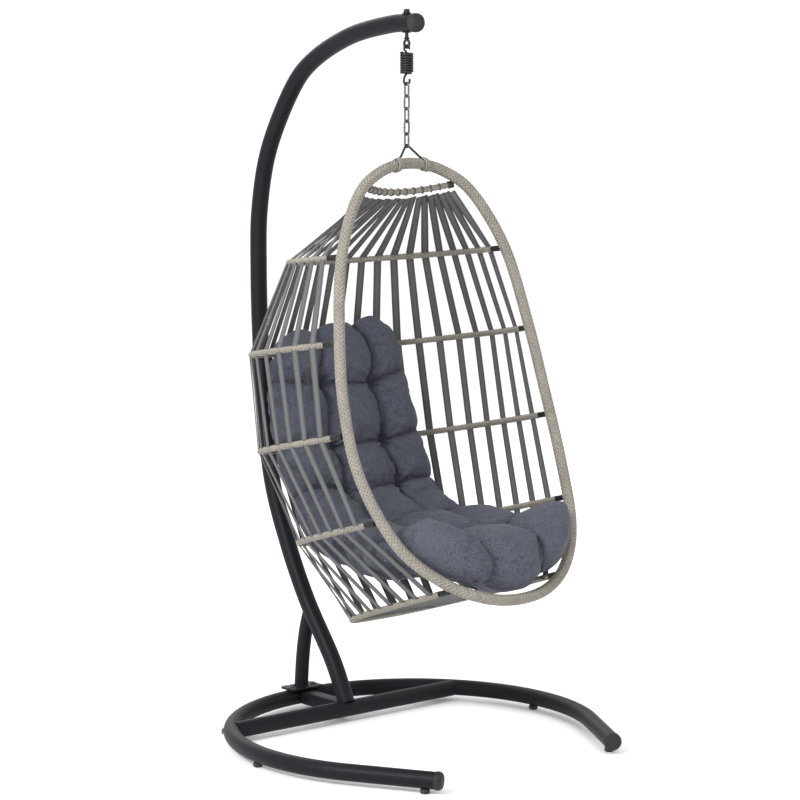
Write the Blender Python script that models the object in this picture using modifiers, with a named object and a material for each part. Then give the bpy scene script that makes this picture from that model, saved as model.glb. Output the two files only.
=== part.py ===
"""Hanging egg chair: a strapped egg basket with a pad, on a spring and chain from a curved stand.

Metres, +Z up. The stand's mirror plane is X = 0 and the basket opens towards -Y. Every shape is worked
out from the hook's vertical axis; place_on_origin moves the whole chair to its box's centre at the end.
"""
import math

import bmesh
import bpy
from mathutils import Vector

# ---------------------------------------------------------------- driving dimensions
GAP = 0.0003              # clearance between pieces that touch
ORIGIN_FROM_HOOK = 0.0865  # the box's centre lies this far behind the hook's axis

# base
BASE_TUBE_R = 0.0225
BASE_Z = 0.035            # centreline height of every base tube
BASE_RING_R = 0.49        # plan radius of the open ring
BASE_RING_Y = -0.03       # plan centre of the open ring
BASE_ARC_END = -30.0      # degrees; the ring's arc runs from 90 to here, then goes straight
BASE_STRAIGHT = 0.235     # length of each straight front arm
CROSS_Y = 0.256           # the cross tube joins the ring's sides here
CROSS_CLEARANCE = 0.0030  # the cross tube's ends to the ring, whose sides are not quite straight there
CAP_LENGTH = 0.018
CAP_RIM = 0.0015          # the caps stand this far proud of their tubes
GLIDE_R = 0.013
GLIDE_ON_ARM = 0.205      # metres past the arc's end
GLIDE_ON_ARC = (6.0, 61.0)  # degrees

# pole, given as (y, z) points on its centreline, from the foot to the tip
POLE_R = 0.0235
POLE_LINE = (
    (0.258, 0.050), (0.320, 0.162), (0.435, 0.314), (0.526, 0.473), (0.594, 0.638),
    (0.630, 0.850), (0.646, 1.063), (0.651, 1.234), (0.645, 1.404), (0.600, 1.574),
    (0.493, 1.742), (0.394, 1.824), (0.235, 1.887), (0.070, 1.915), (-0.030, 1.918),
)
POLE_JOINT_Z = 0.960      # the two pole sections meet here
SPIGOT_R = 0.0190
SPIGOT_LENGTH = 0.060
POLE_CAP_LENGTH = 0.022
POLE_TIP_Z = 1.918
BRACE_R = 0.0195
BRACE_LINE = ((0.4635, 0.060), (0.455, 0.150), (0.441, 0.227), (0.420, 0.294))
LINK_SIZE = (0.040, 0.036)  # width and height of the short box tube behind the cross tube
SADDLE_SIZE = (0.110, 0.062, 0.006)
BOLT_HEAD_R = 0.0085

# hanger, all on the hook's axis
EYE_SHANK_R = 0.005
EYE_R = 0.0100            # mean radius of the eye's ring
EYE_WIRE_R = 0.0035
EYE_Z = 1.8640
HOOK_WIRE_R = 0.0030
SPRING_TOP_Z = 1.844
SPRING_BOTTOM_Z = 1.784
SPRING_R = 0.0152         # mean radius of the coil
SPRING_WIRE_R = 0.0030
SPRING_TURNS = 7
PLUG_R = 0.0117
LOWER_HOOK_Z = 1.7575     # centre of the lower hook's wire at its lowest point
BAIL_Z = 1.5990           # centre of the bail's wire at its highest point
BAIL_WIRE_R = 0.0030
BAIL_HALF_SPAN = 0.033
CHAIN_LINKS = 5
LINK_WIRE_R = 0.0025
LINK_HALF_WIDTH = 0.0075  # wire centre to the link's middle
LINK_GAP = 0.0008         # extra clearance between the last link and the bail

# basket hoop: one half, from the lowest point to the highest
HOOP_R = 0.0150
HOOP_HALF = (
    (0.000, -0.452, 0.453), (0.116, -0.437, 0.468), (0.221, -0.390, 0.518), (0.303, -0.319, 0.610),
    (0.346, -0.228, 0.770), (0.347, -0.166, 0.940), (0.326, -0.121, 1.121), (0.283, -0.077, 1.318),
    (0.201, -0.039, 1.466), (0.109, -0.020, 1.530), (0.000, -0.013, 1.552),
)
HOOP_SAMPLES = 3          # curve points between two of the points above

# top rail: end, and middle
RAIL_R = 0.0085
RAIL_END = (0.148, -0.012, 1.493)
RAIL_MIDDLE = (0.0, 0.036, 1.474)

# ribs, from the top: (end x, end y, end z, depth, drop per metre of depth, squareness, bulge)
RIB_R = 0.0085
RIBS = (
    (0.281, -0.059, 1.319, 0.395, 0.115, 2.3, 0.04),
    (0.331, -0.111, 1.104, 0.525, 0.159, 3.0, 0.14),
    (0.357, -0.167, 0.873, 0.540, 0.212, 3.0, 0.05),
    (0.3315, -0.267, 0.660, 0.574, 0.272, 2.2, 0.00),
    (0.188, -0.391, 0.486, 0.530, 0.331, 2.8, 0.10),
)
RIB_SAMPLES = 28
LUG_LENGTH = 0.036
LUG_SECTION = (0.0155, 0.010)

# straps
STRAPS_PER_SIDE = 12
STRAP_FIRST = 0.047       # share of a rib's length where the first strap crosses it
STRAP_WIDTH = 0.0195
STRAP_TOP_WIDTH = 0.0105  # gathered on the top rail
STRAP_THICKNESS = 0.0022
STRAP_CLEARANCE = 0.0009
STRAP_STEPS = (4, 2, 1, 1, 2)  # pieces that a strap is made of between one bar and the next
STRAPS_UNDER_SEAT = 9     # on each side, counted from the hoop

# pad stations: (y, z, half width, thickness in front, thickness behind, rise of the edges over the middle)
PAD_SIDES = 16
PAD_STATIONS = (
    (-0.462, 0.552, 0.205, 0.024, 0.030, 0.040), (-0.430, 0.548, 0.262, 0.066, 0.068, 0.060),
    (-0.380, 0.546, 0.262, 0.070, 0.070, 0.060), (-0.320, 0.548, 0.266, 0.070, 0.074, 0.055),
    (-0.230, 0.556, 0.280, 0.068, 0.080, 0.040), (-0.100, 0.560, 0.270, 0.068, 0.082, 0.020),
    (0.020, 0.560, 0.252, 0.070, 0.082, 0.005), (0.120, 0.600, 0.245, 0.072, 0.074, 0.0),
    (0.195, 0.690, 0.245, 0.070, 0.062, 0.0), (0.245, 0.800, 0.245, 0.068, 0.060, 0.0),
    (0.280, 0.930, 0.242, 0.066, 0.062, 0.0), (0.296, 1.040, 0.228, 0.060, 0.058, 0.0),
    (0.300, 1.105, 0.190, 0.040, 0.046, 0.0), (0.300, 1.128, 0.150, 0.016, 0.024, 0.0),
)
PAD_SET_BACK = 0.9        # the raised edges also lie this much of their rise further back

SIDES = ((-1, "left"), (1, "right"))
SADDLE_Z = BASE_Z + BASE_TUBE_R + GAP  # underside of the saddle plate
UPPER_HOOK_Z = EYE_Z - EYE_R + EYE_WIRE_R + GAP + (HOOK_WIRE_R - 0.0004)

parts = None
cutters = None


# ---------------------------------------------------------------- helpers
def start_scene():
    """Empties the scene and makes the collections for the parts and for the cutters."""
    global parts, cutters
    for old in list(bpy.data.objects):
        bpy.data.objects.remove(old, do_unlink=True)
    parts = bpy.data.collections.new("hanging_egg_chair")
    cutters = bpy.data.collections.new("cutters")
    bpy.context.scene.collection.children.link(parts)
    bpy.context.scene.collection.children.link(cutters)


def material(name, colour, roughness, metallic=0.0):
    """A Principled material."""
    made = bpy.data.materials.new(name)
    made.use_nodes = True
    shader = made.node_tree.nodes["Principled BSDF"]
    shader.inputs["Base Color"].default_value = (*colour, 1.0)
    shader.inputs["Roughness"].default_value = roughness
    shader.inputs["Metallic"].default_value = metallic
    return made


FINISHES = {
    "coated_steel": ((0.022, 0.024, 0.027), 0.42, 0.3),
    "zinc_steel": ((0.35, 0.35, 0.36), 0.35, 1.0),
    "black_steel": ((0.012, 0.012, 0.013), 0.4, 0.6),
    "black_plastic": ((0.015, 0.015, 0.016), 0.55, 0.0),
    "rubber": ((0.02, 0.02, 0.02), 0.9, 0.0),
    "wicker": ((0.43, 0.40, 0.34), 0.65, 0.0),
    "webbing": ((0.07, 0.07, 0.075), 0.8, 0.0),
    "canvas": ((0.072, 0.084, 0.115), 0.9, 0.0),
}


def finish(obj, kind):
    """Gives a part its own material and shades its round faces smooth."""
    obj.data.materials.clear()
    colour, roughness, metallic = FINISHES[kind]
    obj.data.materials.append(material(obj.name, colour, roughness, metallic))
    if obj.type == "MESH":
        obj.data.shade_smooth()
        obj.data.set_sharp_from_angle(angle=math.radians(40))
    return obj


def mesh_object(name, bm, where=None):
    """Links a bmesh as a mesh object."""
    mesh = bpy.data.meshes.new(name)
    bmesh.ops.recalc_face_normals(bm, faces=bm.faces)
    bm.to_mesh(mesh)
    bm.free()
    obj = bpy.data.objects.new(name, mesh)
    (where or parts).objects.link(obj)
    return obj


def curve_object(name, points, radius, resolution, closed=False, where=None):
    """A round bar along points, as a curve with filled caps; resolution r gives 4 + 2r sides."""
    data = bpy.data.curves.new(name, "CURVE")
    data.dimensions = "3D"
    data.bevel_depth = radius
    data.bevel_resolution = resolution
    data.use_fill_caps = True
    line = data.splines.new("POLY")
    line.points.add(len(points) - 1)
    for spot, point in zip(line.points, points):
        spot.co = (*point, 1.0)
    line.use_cyclic_u = closed
    obj = bpy.data.objects.new(name, data)
    (where or parts).objects.link(obj)
    return obj


def curve_mesh(name, points, radius, resolution, closed=False, where=None):
    """The same bar made a mesh, so that it can take or be a Boolean."""
    curve = curve_object(name + "_curve", points, radius, resolution, closed, where)
    bpy.context.view_layer.update()
    seen = curve.evaluated_get(bpy.context.evaluated_depsgraph_get())
    mesh = bpy.data.meshes.new_from_object(seen)
    mesh.name = name
    bm = bmesh.new()
    bm.from_mesh(mesh)
    bmesh.ops.remove_doubles(bm, verts=bm.verts, dist=0.00001)
    bmesh.ops.recalc_face_normals(bm, faces=bm.faces)
    bm.to_mesh(mesh)
    bm.free()
    obj = bpy.data.objects.new(name, mesh)
    obj.matrix_world = curve.matrix_world
    (where or parts).objects.link(obj)
    bpy.data.objects.remove(curve, do_unlink=True)
    return obj


def add_cylinder(bm, start, end, radius, sides, end_radius=None):
    """Adds a closed cylinder or cone between two points."""
    start = Vector(start)
    axis = Vector(end) - start
    made = bmesh.ops.create_cone(
        bm, cap_ends=True, segments=sides, radius1=radius,
        radius2=radius if end_radius is None else end_radius, depth=axis.length)
    turn = axis.to_track_quat("Z", "Y").to_matrix().to_4x4()
    bmesh.ops.transform(bm, matrix=turn, verts=made["verts"])
    bmesh.ops.translate(bm, vec=start + axis / 2, verts=made["verts"])
    return made["verts"]


def turned(name, start, direction, profile, sides):
    """A solid of revolution; profile is (distance along the axis, radius), and both ends close on the axis."""
    bm = bmesh.new()
    axis = Vector(direction).normalized()
    side = axis.orthogonal().normalized()
    first, last = profile[0][0], profile[-1][0]
    outline = [(first, 0.0)] + list(profile) + [(last, 0.0)]
    verts = [bm.verts.new(Vector(start) + axis * along + side * radius) for along, radius in outline]
    edges = [bm.edges.new(pair) for pair in zip(verts, verts[1:])]
    bmesh.ops.spin(bm, geom=verts + edges, cent=Vector(start), axis=axis,
                   angle=2 * math.pi, steps=sides, use_merge=True)
    bmesh.ops.remove_doubles(bm, verts=bm.verts, dist=0.00002)
    return mesh_object(name, bm)


def add_box(bm, centre, size, x_axis=None, z_axis=None):
    """Adds a box; x_axis and z_axis turn it."""
    made = bmesh.ops.create_cube(bm, size=1.0)
    bmesh.ops.scale(bm, vec=Vector(size), verts=made["verts"])
    if x_axis is not None:
        along = Vector(x_axis).normalized()
        up = Vector(z_axis) - along * along.dot(Vector(z_axis))
        up.normalize()
        side = up.cross(along)
        for vert in made["verts"]:
            vert.co = along * vert.co.x + side * vert.co.y + up * vert.co.z
    bmesh.ops.translate(bm, vec=Vector(centre), verts=made["verts"])
    return made["verts"]


def cylinder(name, start, end, radius, sides, where=None):
    """One cylinder as an object."""
    bm = bmesh.new()
    add_cylinder(bm, start, end, radius, sides)
    return mesh_object(name, bm, where)


def boolean(obj, other, operation="DIFFERENCE"):
    """Cuts or joins obj with another object, which stays as a hidden guide."""
    other.hide_render = True
    other.display_type = "WIRE"
    step = obj.modifiers.new(operation.lower(), "BOOLEAN")
    step.operation = operation
    step.solver = "EXACT"
    step.object = other


def round_edges(obj, width, segments=1):
    """A small bevel on a part's sharp edges."""
    step = obj.modifiers.new("round_edges", "BEVEL")
    step.width = width
    step.segments = segments
    step.limit_method = "ANGLE"
    step.angle_limit = math.radians(50)


def spline(points, steps, closed=False):
    """Points on a Catmull-Rom curve through the given ones."""
    knots = [Vector(point) for point in points]
    count = len(knots)
    made = []
    for index in range(count if closed else count - 1):
        if closed:
            a, b, c, d = (knots[(index + shift) % count] for shift in (-1, 0, 1, 2))
        else:
            b = knots[index]
            c = knots[index + 1]
            a = knots[index - 1] if index else b * 2 - c
            d = knots[index + 2] if index + 2 < count else c * 2 - b
        for step in range(steps):
            t = step / steps
            made.append(0.5 * (2 * b + (c - a) * t + (2 * a - 5 * b + 4 * c - d) * t ** 2
                               + (3 * b - a - 3 * c + d) * t ** 3))
    if not closed:
        made.append(knots[-1])
    return made


def lengths_along(points):
    """Running length at each point of a line."""
    run = [0.0]
    for before, after in zip(points, points[1:]):
        run.append(run[-1] + (after - before).length)
    return run


def point_at(points, share):
    """The point and direction at a share of a line's length."""
    run = lengths_along(points)
    target = share * run[-1]
    for index in range(len(points) - 1):
        if run[index + 1] >= target:
            part = (target - run[index]) / (run[index + 1] - run[index])
            direction = (points[index + 1] - points[index]).normalized()
            return points[index].lerp(points[index + 1], part), direction
    return points[-1].copy(), (points[-1] - points[-2]).normalized()


def loft(name, rings):
    """A closed solid through rings of equal point count."""
    bm = bmesh.new()
    made = [[bm.verts.new(point) for point in ring] for ring in rings]
    count = len(rings[0])
    for lower, upper in zip(made, made[1:]):
        for index in range(count):
            after = (index + 1) % count
            bm.faces.new((lower[index], lower[after], upper[after], upper[index]))
    bm.faces.new(list(reversed(made[0])))
    bm.faces.new(made[-1])
    return mesh_object(name, bm)


# ---------------------------------------------------------------- base
def ring_arc_point(degrees, side):
    """A point on the ring's arc; side is 1 for +X and -1 for -X."""
    angle = math.radians(degrees)
    x = side * BASE_RING_R * math.cos(angle)
    return Vector((x, BASE_RING_Y + BASE_RING_R * math.sin(angle), BASE_Z))


def arm_direction(side):
    """The way each straight front arm points."""
    angle = math.radians(BASE_ARC_END)
    return Vector((side * math.sin(angle), -math.cos(angle), 0.0))


def ring_half(side):
    """Centreline of one base tube, from the joint at the back to its front end."""
    steps = 18
    line = [ring_arc_point(90 + (BASE_ARC_END - 90) * step / steps, side) for step in range(steps + 1)]
    line[0].x = side * GAP / 2
    line.insert(1, line[0] + Vector((side * 0.015, 0, 0)))
    line.append(line[-1] + arm_direction(side) * BASE_STRAIGHT)
    return line


def base_tubes():
    """Two bent tubes that meet behind the pole, with end caps."""
    for side, word in SIDES:
        line = ring_half(side)
        finish(curve_mesh(f"base_tube_{word}", line, BASE_TUBE_R, 4), "coated_steel")
        end_cap(f"base_end_cap_{word}", line[-1], arm_direction(side), BASE_TUBE_R + CAP_RIM, CAP_LENGTH)


def end_cap(name, end, ahead, radius, length):
    """A domed plastic plug on a tube's end."""
    cap = turned(name, end, ahead, (
        (GAP, radius), (length * 0.45, radius), (length * 0.75, radius * 0.93),
        (length * 0.93, radius * 0.72), (length, radius * 0.35)), 16)
    finish(cap, "black_plastic")


def cross_tube():
    """The cross tube, with the short box tube welded to it that runs back to the ring's joint."""
    reach = math.sqrt(BASE_RING_R ** 2 - (CROSS_Y - BASE_RING_Y) ** 2)
    cross = cylinder("cross_tube", (-reach, CROSS_Y, BASE_Z), (reach, CROSS_Y, BASE_Z), BASE_TUBE_R, 16)
    for side, word in SIDES:
        spot = Vector((side * reach, CROSS_Y, BASE_Z))
        tangent = Vector((CROSS_Y - BASE_RING_Y, -side * reach, 0)).normalized()
        boolean(cross, cylinder(f"cross_cut_{word}", spot - tangent * 0.1, spot + tangent * 0.1,
                                BASE_TUBE_R + CROSS_CLEARANCE, 24, cutters))
    back = BASE_RING_Y + BASE_RING_R
    bm = bmesh.new()
    front = CROSS_Y + 0.006
    add_box(bm, (0, (front + back) / 2, BASE_Z), (LINK_SIZE[0], back - front, LINK_SIZE[1]))
    boolean(cross, mesh_object("link_tube", bm, cutters), "UNION")
    boolean(cross, cylinder("link_cut_back", (-0.1, back, BASE_Z), (0.1, back, BASE_Z),
                            BASE_TUBE_R + 0.0012, 24, cutters))
    finish(cross, "coated_steel")


def foot_glides():
    """Six round glides under the ring."""
    top = BASE_Z - BASE_TUBE_R - GAP
    for side, word in SIDES:
        arc_end = ring_arc_point(BASE_ARC_END, side)
        spots = [arc_end + arm_direction(side) * GLIDE_ON_ARM]
        for degrees in GLIDE_ON_ARC:
            spots.append(ring_arc_point(degrees, side))
        for place, spot in zip(("front", "middle", "rear"), spots):
            bm = bmesh.new()
            add_cylinder(bm, (spot.x, spot.y, 0.0), (spot.x, spot.y, top), GLIDE_R * 0.92, 14, GLIDE_R)
            finish(mesh_object(f"foot_glide_{place}_{word}", bm), "rubber")


def stand_bolts():
    """Dome-headed bolts: two through the saddle, and one at each end of the cross tube."""
    back = BASE_RING_Y + BASE_RING_R
    saddle_top = SADDLE_Z + SADDLE_SIZE[2] + GAP
    reach = math.sqrt(BASE_RING_R ** 2 - (CROSS_Y - BASE_RING_Y) ** 2)
    head = ((0, BOLT_HEAD_R), (0.0015, BOLT_HEAD_R), (0.0045, BOLT_HEAD_R * 0.55))
    for side, word in SIDES:
        bolt = turned(f"saddle_bolt_{word}", (side * 0.040, back, saddle_top), (0, 0, 1), head, 10)
        finish(bolt, "zinc_steel")
        outward = Vector((side * reach, CROSS_Y - BASE_RING_Y, 0)).normalized()
        spot = Vector((side * reach, CROSS_Y, BASE_Z)) + outward * (BASE_TUBE_R + 2 * GAP)
        finish(turned(f"cross_bolt_{word}", spot, outward, head, 10), "zinc_steel")


# ---------------------------------------------------------------- pole
def pole_lines():
    """The pole's centreline, split at the joint into a lower and an upper list."""
    line = spline([(0.0, y, z) for y, z in POLE_LINE], 4)
    lower = [point for point in line if point.z < POLE_JOINT_Z - 0.075]
    upper = [point for point in line if point.z > POLE_JOINT_Z + 0.020]
    along = (upper[0] - lower[-1]).normalized()
    joint = lower[-1].lerp(upper[0], 0.7)
    return lower, upper, joint, along


def poles():
    """Two bent pole sections; the upper one's spigot sits in the lower one."""
    lower, upper, joint, along = pole_lines()
    low = curve_mesh("pole_lower", lower + [joint - along * GAP], POLE_R, 4)
    bore_end = joint - along * (SPIGOT_LENGTH + 0.002)
    boolean(low, cylinder("pole_bore", bore_end, joint + along * 0.01, SPIGOT_R + 0.0006, 24, cutters))
    boolean(low, cylinder("foot_cut", (-0.1, CROSS_Y, BASE_Z), (0.1, CROSS_Y, BASE_Z),
                          BASE_TUBE_R + 0.0006, 24, cutters))
    bm = bmesh.new()
    add_box(bm, (0, CROSS_Y + 0.1, BASE_Z + LINK_SIZE[1] / 2 + 2 * GAP - 0.05), (0.1, 0.2, 0.1))
    boolean(low, mesh_object("foot_cut_back", bm, cutters))
    finish(low, "coated_steel")

    high = curve_mesh("pole_upper", [joint] + upper, POLE_R, 4)
    spigot = cylinder("spigot", joint - along * SPIGOT_LENGTH, joint + along * 0.02, SPIGOT_R, 12, cutters)
    boolean(high, spigot, "UNION")
    boolean(high, cylinder("eye_bore", (0, 0, 1.86), (0, 0, 1.97), 0.0083, 16, cutters))
    finish(high, "coated_steel")

    end_cap("pole_end_cap", upper[-1], (0, -1, 0), POLE_R + CAP_RIM, POLE_CAP_LENGTH)


def rear_brace():
    """The saddle plate over the ring's joint, with the tube welded to it that props the pole."""
    line = spline([(0.0, y, z) for y, z in BRACE_LINE], 3)
    line[0].z = SADDLE_Z + SADDLE_SIZE[2] / 2
    brace = curve_mesh("rear_brace", line, BRACE_R, 3)
    boolean(brace, curve_mesh("brace_cut_top", pole_lines()[0], POLE_R + 0.0009, 6, where=cutters))
    bm = bmesh.new()
    add_box(bm, (0, BASE_RING_Y + BASE_RING_R, SADDLE_Z + SADDLE_SIZE[2] / 2), SADDLE_SIZE)
    plate = mesh_object("saddle_plate", bm, cutters)
    round_edges(plate, 0.002)
    boolean(brace, plate, "UNION")
    finish(brace, "coated_steel")


# ---------------------------------------------------------------- hanger
def eye_bolt():
    """The swivelling eye bolt under the pole's tip, its bush, washer and lock nut."""
    bottom = POLE_TIP_Z - POLE_R - 0.002
    top = POLE_TIP_Z + POLE_R + 0.002
    shank_end = EYE_Z + EYE_R - 0.001
    bolt = cylinder("eye_bolt", (0, 0, shank_end), (0, 0, top + 0.013), EYE_SHANK_R, 12)
    ring = [Vector((0, EYE_R * math.sin(2 * math.pi * step / 20), EYE_Z + EYE_R * math.cos(2 * math.pi * step / 20)))
            for step in range(20)]
    boolean(bolt, curve_mesh("eye_ring", ring, EYE_WIRE_R, 2, True, cutters), "UNION")
    finish(bolt, "zinc_steel")

    bush = mesh_profile("swivel_bush", (
        (0.0055, top), (0.0125, top), (0.0125, top - 0.0016), (0.0080, top - 0.0016),
        (0.0080, bottom + 0.0016), (0.0125, bottom + 0.0016), (0.0125, bottom), (0.0055, bottom)), 16)
    finish(bush, "black_plastic")

    washer = mesh_profile("eye_bolt_washer", (
        (0.0054, top + GAP + 0.0018), (0.0110, top + GAP + 0.0018), (0.0110, top + GAP), (0.0054, top + GAP)), 16)
    finish(washer, "zinc_steel")

    low = top + 0.0018 + 2 * GAP
    nut = cylinder("eye_bolt_nut", (0, 0, low), (0, 0, low + 0.0085), 0.0090, 6)
    boolean(nut, cylinder("nut_bore", (0, 0, low - 0.01), (0, 0, low + 0.03), EYE_SHANK_R + GAP, 16, cutters))
    finish(nut, "zinc_steel")


def mesh_profile(name, outline, steps):
    """A turned ring: a closed outline of (radius, z) swept round the hook's axis by a Screw modifier."""
    bm = bmesh.new()
    verts = [bm.verts.new((radius, 0.0, height)) for radius, height in outline]
    for index, vert in enumerate(verts):
        bm.edges.new((vert, verts[(index + 1) % len(verts)]))
    mesh = bpy.data.meshes.new(name)
    bm.to_mesh(mesh)
    bm.free()
    obj = bpy.data.objects.new(name, mesh)
    parts.objects.link(obj)
    turn = obj.modifiers.new("turn", "SCREW")
    turn.steps = steps
    turn.render_steps = steps
    turn.use_merge_vertices = True
    turn.merge_threshold = 0.00001
    return obj


def hook_bend(centre_z, radius, start_degrees, end_degrees, steps):
    """Points on an arc of a hook in the XZ plane; 0 degrees points to +X and 90 points up."""
    points = []
    for step in range(steps + 1):
        angle = math.radians(start_degrees + (end_degrees - start_degrees) * step / steps)
        points.append(Vector((radius * math.cos(angle), 0, centre_z + radius * math.sin(angle))))
    return points


def spring_pieces():
    """The tension spring with its upper and lower hooks, each with a plug inside the end turns."""
    bend = 0.0062
    wire = curve_mesh("upper_hook_wire", (
        hook_bend(UPPER_HOOK_Z - bend, bend, -35, 180, 10)
        + [Vector((-bend, 0, SPRING_TOP_Z + 0.004)), Vector((-0.0015, 0, SPRING_TOP_Z - 0.001)),
           Vector((0, 0, SPRING_TOP_Z - 0.010))]), HOOK_WIRE_R - 0.0004, 2, where=cutters)
    upper = cylinder("spring_upper_hook", (0, 0, SPRING_TOP_Z - 0.020), (0, 0, SPRING_TOP_Z - 0.004), PLUG_R, 12)
    boolean(upper, wire, "UNION")
    finish(upper, "zinc_steel")

    line = []
    per_turn = 10
    rise = (SPRING_TOP_Z - SPRING_BOTTOM_Z - 2 * SPRING_WIRE_R) / SPRING_TURNS
    for step in range(SPRING_TURNS * per_turn + 1):
        angle = 2 * math.pi * step / per_turn
        height = SPRING_BOTTOM_Z + SPRING_WIRE_R + rise * step / per_turn
        line.append(Vector((SPRING_R * math.cos(angle), SPRING_R * math.sin(angle), height)))
    coil = curve_object("coil_spring", line, SPRING_WIRE_R, 2)
    finish(coil, "black_steel")

    bend = 0.0080
    wire = curve_mesh("lower_hook_wire", (
        [Vector((0, 0, SPRING_BOTTOM_Z + 0.010)), Vector((-0.001, 0, SPRING_BOTTOM_Z + 0.002)),
         Vector((-bend * 0.75, 0, SPRING_BOTTOM_Z - 0.006))]
        + hook_bend(LOWER_HOOK_Z + bend, bend, 180, 385, 10)), HOOK_WIRE_R, 2, where=cutters)
    lower = cylinder("spring_lower_hook", (0, 0, SPRING_BOTTOM_Z + 0.004), (0, 0, SPRING_BOTTOM_Z + 0.020),
                     PLUG_R, 12)
    boolean(lower, wire, "UNION")
    finish(lower, "zinc_steel")


def link_length():
    """Wire-centre length of a link, so that the links just fill the drop from hook to bail."""
    drop = LOWER_HOOK_Z - BAIL_Z
    ends = HOOK_WIRE_R + BAIL_WIRE_R + 2 * LINK_WIRE_R + 2 * GAP
    overlaps = (CHAIN_LINKS - 1) * (2 * LINK_WIRE_R + GAP)
    return (drop + ends + overlaps) / CHAIN_LINKS


def chain_links():
    """Welded links, turned a quarter turn from one to the next."""
    length = link_length()
    top = LOWER_HOOK_Z + HOOK_WIRE_R + LINK_WIRE_R + GAP
    straight = length / 2 - LINK_HALF_WIDTH
    for number in range(CHAIN_LINKS):
        middle = top - length / 2 - number * (length - 2 * LINK_WIRE_R - GAP)
        outline = []
        for start, shift in ((0, straight), (180, -straight)):
            for step in range(7):
                angle = math.radians(start + 180 * step / 6)
                outline.append((LINK_HALF_WIDTH * math.cos(angle), shift + LINK_HALF_WIDTH * math.sin(angle)))
        if number % 2 == 0:
            line = [Vector((0, across, middle + up)) for across, up in outline]
        else:
            line = [Vector((across, 0, middle + up)) for across, up in outline]
        finish(curve_object(f"chain_link_{number + 1}", line, LINK_WIRE_R, 2, True), "zinc_steel")


def bail():
    """The bent wire that carries the hoop from the last link."""
    foot_y = -0.013
    foot_z = HOOP_HALF[-1][2]
    bend = 0.0045
    line = [Vector((-BAIL_HALF_SPAN, foot_y, foot_z))]
    for degrees in (140, 115, 90, 65, 40):
        angle = math.radians(degrees)
        line.append(Vector((bend * math.cos(angle), 0, BAIL_Z + LINK_GAP - bend + bend * math.sin(angle))))
    line.append(Vector((BAIL_HALF_SPAN, foot_y, foot_z)))
    wire = curve_mesh("hoop_bail", line, BAIL_WIRE_R, 2)
    boolean(wire, curve_mesh("bail_cut", hoop_line(), HOOP_R + 0.0012, 6, True, cutters))
    finish(wire, "black_steel")


# ---------------------------------------------------------------- basket
def hoop_line():
    """The hoop's closed centreline."""
    right = [Vector(point) for point in HOOP_HALF]
    left = [Vector((-point.x, point.y, point.z)) for point in reversed(right[1:-1])]
    return spline(right + left, HOOP_SAMPLES, closed=True)


def hoop_and_rail():
    """The wrapped egg-shaped hoop, and the wrapped rail behind its top."""
    finish(curve_object("front_hoop", hoop_line(), HOOP_R, 3, True), "wicker")
    rail = curve_mesh("top_rail", rail_line(), RAIL_R, 3)
    boolean(rail, curve_mesh("rail_cut", hoop_line(), HOOP_R + 0.0008, 5, True, cutters))
    finish(rail, "wicker")


def rail_line():
    """The top rail: an arc of a parabola through its ends and its middle."""
    end = Vector(RAIL_END)
    middle = Vector(RAIL_MIDDLE)
    line = []
    steps = 12
    for step in range(steps + 1):
        across = -1 + 2 * step / steps
        point = middle + (end - middle) * across ** 2
        point.x = end.x * across
        line.append(point)
    return line


def rib_line(number, samples=RIB_SAMPLES):
    """A rib's centreline from its left end to its right end: half a superellipse that drops as it goes back."""
    end_x, end_y, end_z, depth, drop, square, bulge = RIBS[number]
    line = []
    for step in range(samples + 1):
        angle = math.pi * (1 - step / samples)
        back = abs(math.sin(angle)) ** (2 / square)
        across = math.copysign(abs(math.cos(angle)) ** (2 / square), math.cos(angle))
        if step == samples // 2 and samples % 2 == 0:
            across = 0.0
        wider = 1 + bulge * math.sin(math.pi * back)
        line.append(Vector((end_x * across * wider, end_y + depth * back, end_z - drop * depth * back)))
    return even_line(line, samples)


def even_line(line, samples):
    """The same line with evenly spaced points."""
    return [point_at(line, step / samples)[0] for step in range(samples + 1)]


def ribs():
    """Five wrapped U-shaped ribs, each with a flat lug at both ends that butts on the hoop."""
    names = ("rib_1_shoulder", "rib_2_upper", "rib_3_middle", "rib_4_seat", "rib_5_bottom_ring")
    for number, name in enumerate(names):
        fine = rib_line(number, 80)
        total = lengths_along(fine)[-1]
        trim = LUG_LENGTH * 0.75 / total
        body = [point_at(fine, trim + (1 - 2 * trim) * step / RIB_SAMPLES)[0] for step in range(RIB_SAMPLES + 1)]
        rib = curve_mesh(name, body, RIB_R, 2)
        for end, share, side in ((fine[0], LUG_LENGTH / total, -1), (fine[-1], 1 - LUG_LENGTH / total, 1)):
            stop = point_at(fine, share)[0]
            along = (stop - end).normalized()
            across = Vector((side, 0, 0))
            across = (across - along * along.dot(across)).normalized()
            bm = bmesh.new()
            add_box(bm, (end + stop) / 2, ((stop - end).length, LUG_SECTION[1], LUG_SECTION[0]),
                    along, along.cross(across))
            boolean(rib, mesh_object(f"{name}_lug_{side + 1}", bm, cutters), "UNION")
        boolean(rib, curve_mesh(f"{name}_cut", hoop_line(), HOOP_R + 0.0008, 5, True, cutters))
        finish(rib, "wicker")


# ---------------------------------------------------------------- straps
def strap_share(number):
    """Share of a rib's length where a strap crosses it; numbers run from left to right."""
    last = 2 * STRAPS_PER_SIDE - 1
    return STRAP_FIRST + (1 - 2 * STRAP_FIRST) * number / last


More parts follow.
